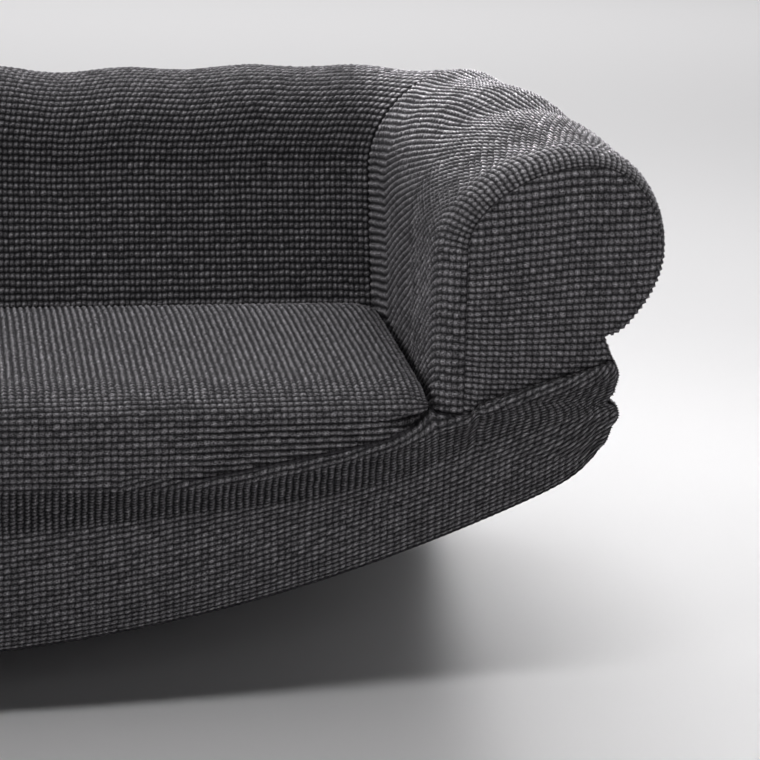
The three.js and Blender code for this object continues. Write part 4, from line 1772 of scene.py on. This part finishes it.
@dataclass
class Slipcover:
    """All the cover's panels."""

    depth_to_middle: float
    seat_area: float = 1.26  # of the T-shaped panel, in square metres

    def panels(self) -> list[tuple[Cloth, tuple[float, float]]]:
        """Lists the panels.

        Returns:
            The surfaces, each named after its node, and their flat sizes in metres.
        """
        right, left = ArmCloth("arm_right", lifted=True), ArmCloth("arm_left", mirrored=True)
        return [
            (SeatCloth(), (1.76, 0.92)),
            (BackCloth(), (1.65, 1.19)),
            (right, (0.78, 1.1)),
            (left, (0.78, 1.2)),
            (FrontCloth("arm_front_right", mirrored=False, arm=right), (0.25, 0.31)),
            (FrontCloth("arm_front_left", mirrored=True, arm=left), (0.25, 0.33)),
        ]

    def build(self, finish: KnitFinish) -> None:
        """Makes every panel, hides the frame's part that it replaces, puts it under the root and logs
        its size.

        Args:
            finish: The knit.
        """
        material = finish.material()
        maker = SheetMaker((0.0, self.depth_to_middle, 0.0))
        for cloth, flat in self.panels():
            piece = maker.make(cloth)
            piece.name = f"{cloth.name}_knit"
            piece.data.materials.append(material)
            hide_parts(cloth.name)
            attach(piece, "root")
            area = self.seat_area if isinstance(cloth, SeatCloth) else None
            sizes = len(piece.data.vertices), len(piece.data.polygons)
            LOG.info("%s: %d vertices, %d faces", cloth.name, *sizes)


@dataclass(frozen=True)
class Lamp:
    """One soft rectangular light, aimed at a point."""

    name: str
    place: tuple[float, float, float]
    aim: tuple[float, float, float]
    size: tuple[float, float]
    power: float

    def hang(self) -> bpy.types.Object:
        """Puts the light in the scene.

        Returns:
            The light.
        """
        data = bpy.data.lights.new(self.name, "AREA")
        data.shape = "RECTANGLE"
        data.size, data.size_y = self.size
        data.energy = self.power
        lamp = bpy.data.objects.new(self.name, data)
        lamp.location = self.place
        ahead = Vector(self.aim) - Vector(self.place)
        lamp.rotation_euler = ahead.to_track_quat("-Z", "Y").to_euler()
        bpy.context.scene.collection.objects.link(lamp)
        return lamp


@dataclass
class Studio:
    """Camera, floor and lights."""

    depth_to_middle: float
    lamps: tuple[Lamp, ...] = (
        Lamp("over_behind", (1.6, 1.6, 3.4), (1.6, 1.6, 0.0), (3.0, 1.2), 90.0),
        Lamp("front_fill", (1.2, -4.0, 1.8), (0.3, 0.0, 0.3), (3.0, 2.5), 14.0),
        Lamp("over_front", (0.5, -1.1, 2.2), (0.5, -0.95, 0.0), (1.6, 0.5), 17.0),
        Lamp("left_side", (-3.0, 0.2, 1.7), (0.5, 0.0, 0.4), (1.5, 1.5), 58.0),
        Lamp("right_side", (3.2, 0.2, 1.6), (0.5, 0.0, 0.3), (1.5, 1.5), 7.0),
        Lamp("by_the_roll", (1.45, 0.6, 1.2), (0.8, 0.1, 0.6), (0.5, 0.5), 7.0),
        Lamp("far_floor", (0.8, 7.5, 4.0), (0.8, 7.5, 0.0), (12.0, 5.0), 385.0),
    )
    lens: float = 112.4
    sensor: float = 36.0
    turned: tuple[float, float, float] = (11.068, 15.535, 1.789)  # right, down, tilted: degrees
    seen_from: tuple[float, float, float] = (38.7, -2832.7, 1243.1)  # in millimetres
    floor_size: float = 60.0
    floor_colour: tuple[float, float, float] = (0.79, 0.78, 0.79)
    floor_roughness: float = 0.6
    room_colour: tuple[float, float, float] = (0.86, 0.86, 0.88)
    room_strength: float = 0.02

    def camera(self) -> None:
        """Sets the camera: a long lens to the front, above the seat and a little to the right."""
        yaw, pitch, roll = (math.radians(angle) for angle in self.turned)
        level = math.cos(pitch)
        ahead = Vector((math.sin(yaw) * level, math.cos(yaw) * level, -math.sin(pitch)))
        right = Vector((math.cos(yaw), -math.sin(yaw), 0))
        up = right.cross(ahead)
        side = right * math.cos(roll) + up * math.sin(roll)
        top = up * math.cos(roll) - right * math.sin(roll)
        data = bpy.data.cameras.new("front")
        data.lens, data.sensor_width = self.lens, self.sensor
        camera = bpy.data.objects.new("front", data)
        turn = Matrix((side, top, -ahead)).transposed().to_4x4()
        origin = Vector((0, self.depth_to_middle, FLOOR_BELOW_HEM))
        camera.matrix_world = Matrix.Translation((Vector(self.seen_from) - origin) * MM) @ turn
        bpy.context.scene.collection.objects.link(camera)
        bpy.context.scene.camera = camera

    def floor(self) -> None:
        """Lays a wide pale floor."""
        place = (0, 0, -FLOOR_BELOW_HEM * MM)
        bpy.ops.mesh.primitive_plane_add(size=self.floor_size, location=place)
        floor = bpy.context.object
        floor.name = "floor"
        paint = bpy.data.materials.new("pale_floor")
        paint.use_nodes = True
        shader = paint.node_tree.nodes["Principled BSDF"]
        shader.inputs["Base Color"].default_value = (*self.floor_colour, 1)
        shader.inputs["Roughness"].default_value = self.floor_roughness
        floor.data.materials.append(paint)

    def light(self) -> None:
        """Hangs the lamps and lights the room faintly from all round."""
        for lamp in self.lamps:
            lamp.hang()
        world = bpy.data.worlds.new("pale_room")
        world.use_nodes = True
        background = world.node_tree.nodes["Background"]
        background.inputs[0].default_value = (*self.room_colour, 1)
        background.inputs[1].default_value = self.room_strength
        bpy.context.scene.world = world
        bpy.context.scene.view_settings.view_transform = "Standard"


def main() -> None:
    """Builds the cover and its setting."""
    logging.basicConfig(level=logging.INFO, format="%(name)s %(message)s")
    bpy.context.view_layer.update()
    front = float(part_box("arm_front_right")[0][1])
    middle = -(front / MM) - FRONT_DOME
    cover = Slipcover(depth_to_middle=middle)
    cover.build(KnitFinish())
    studio = Studio(depth_to_middle=middle)
    studio.camera()
    studio.floor()
    studio.light()


if __name__ == "__main__":
    main()
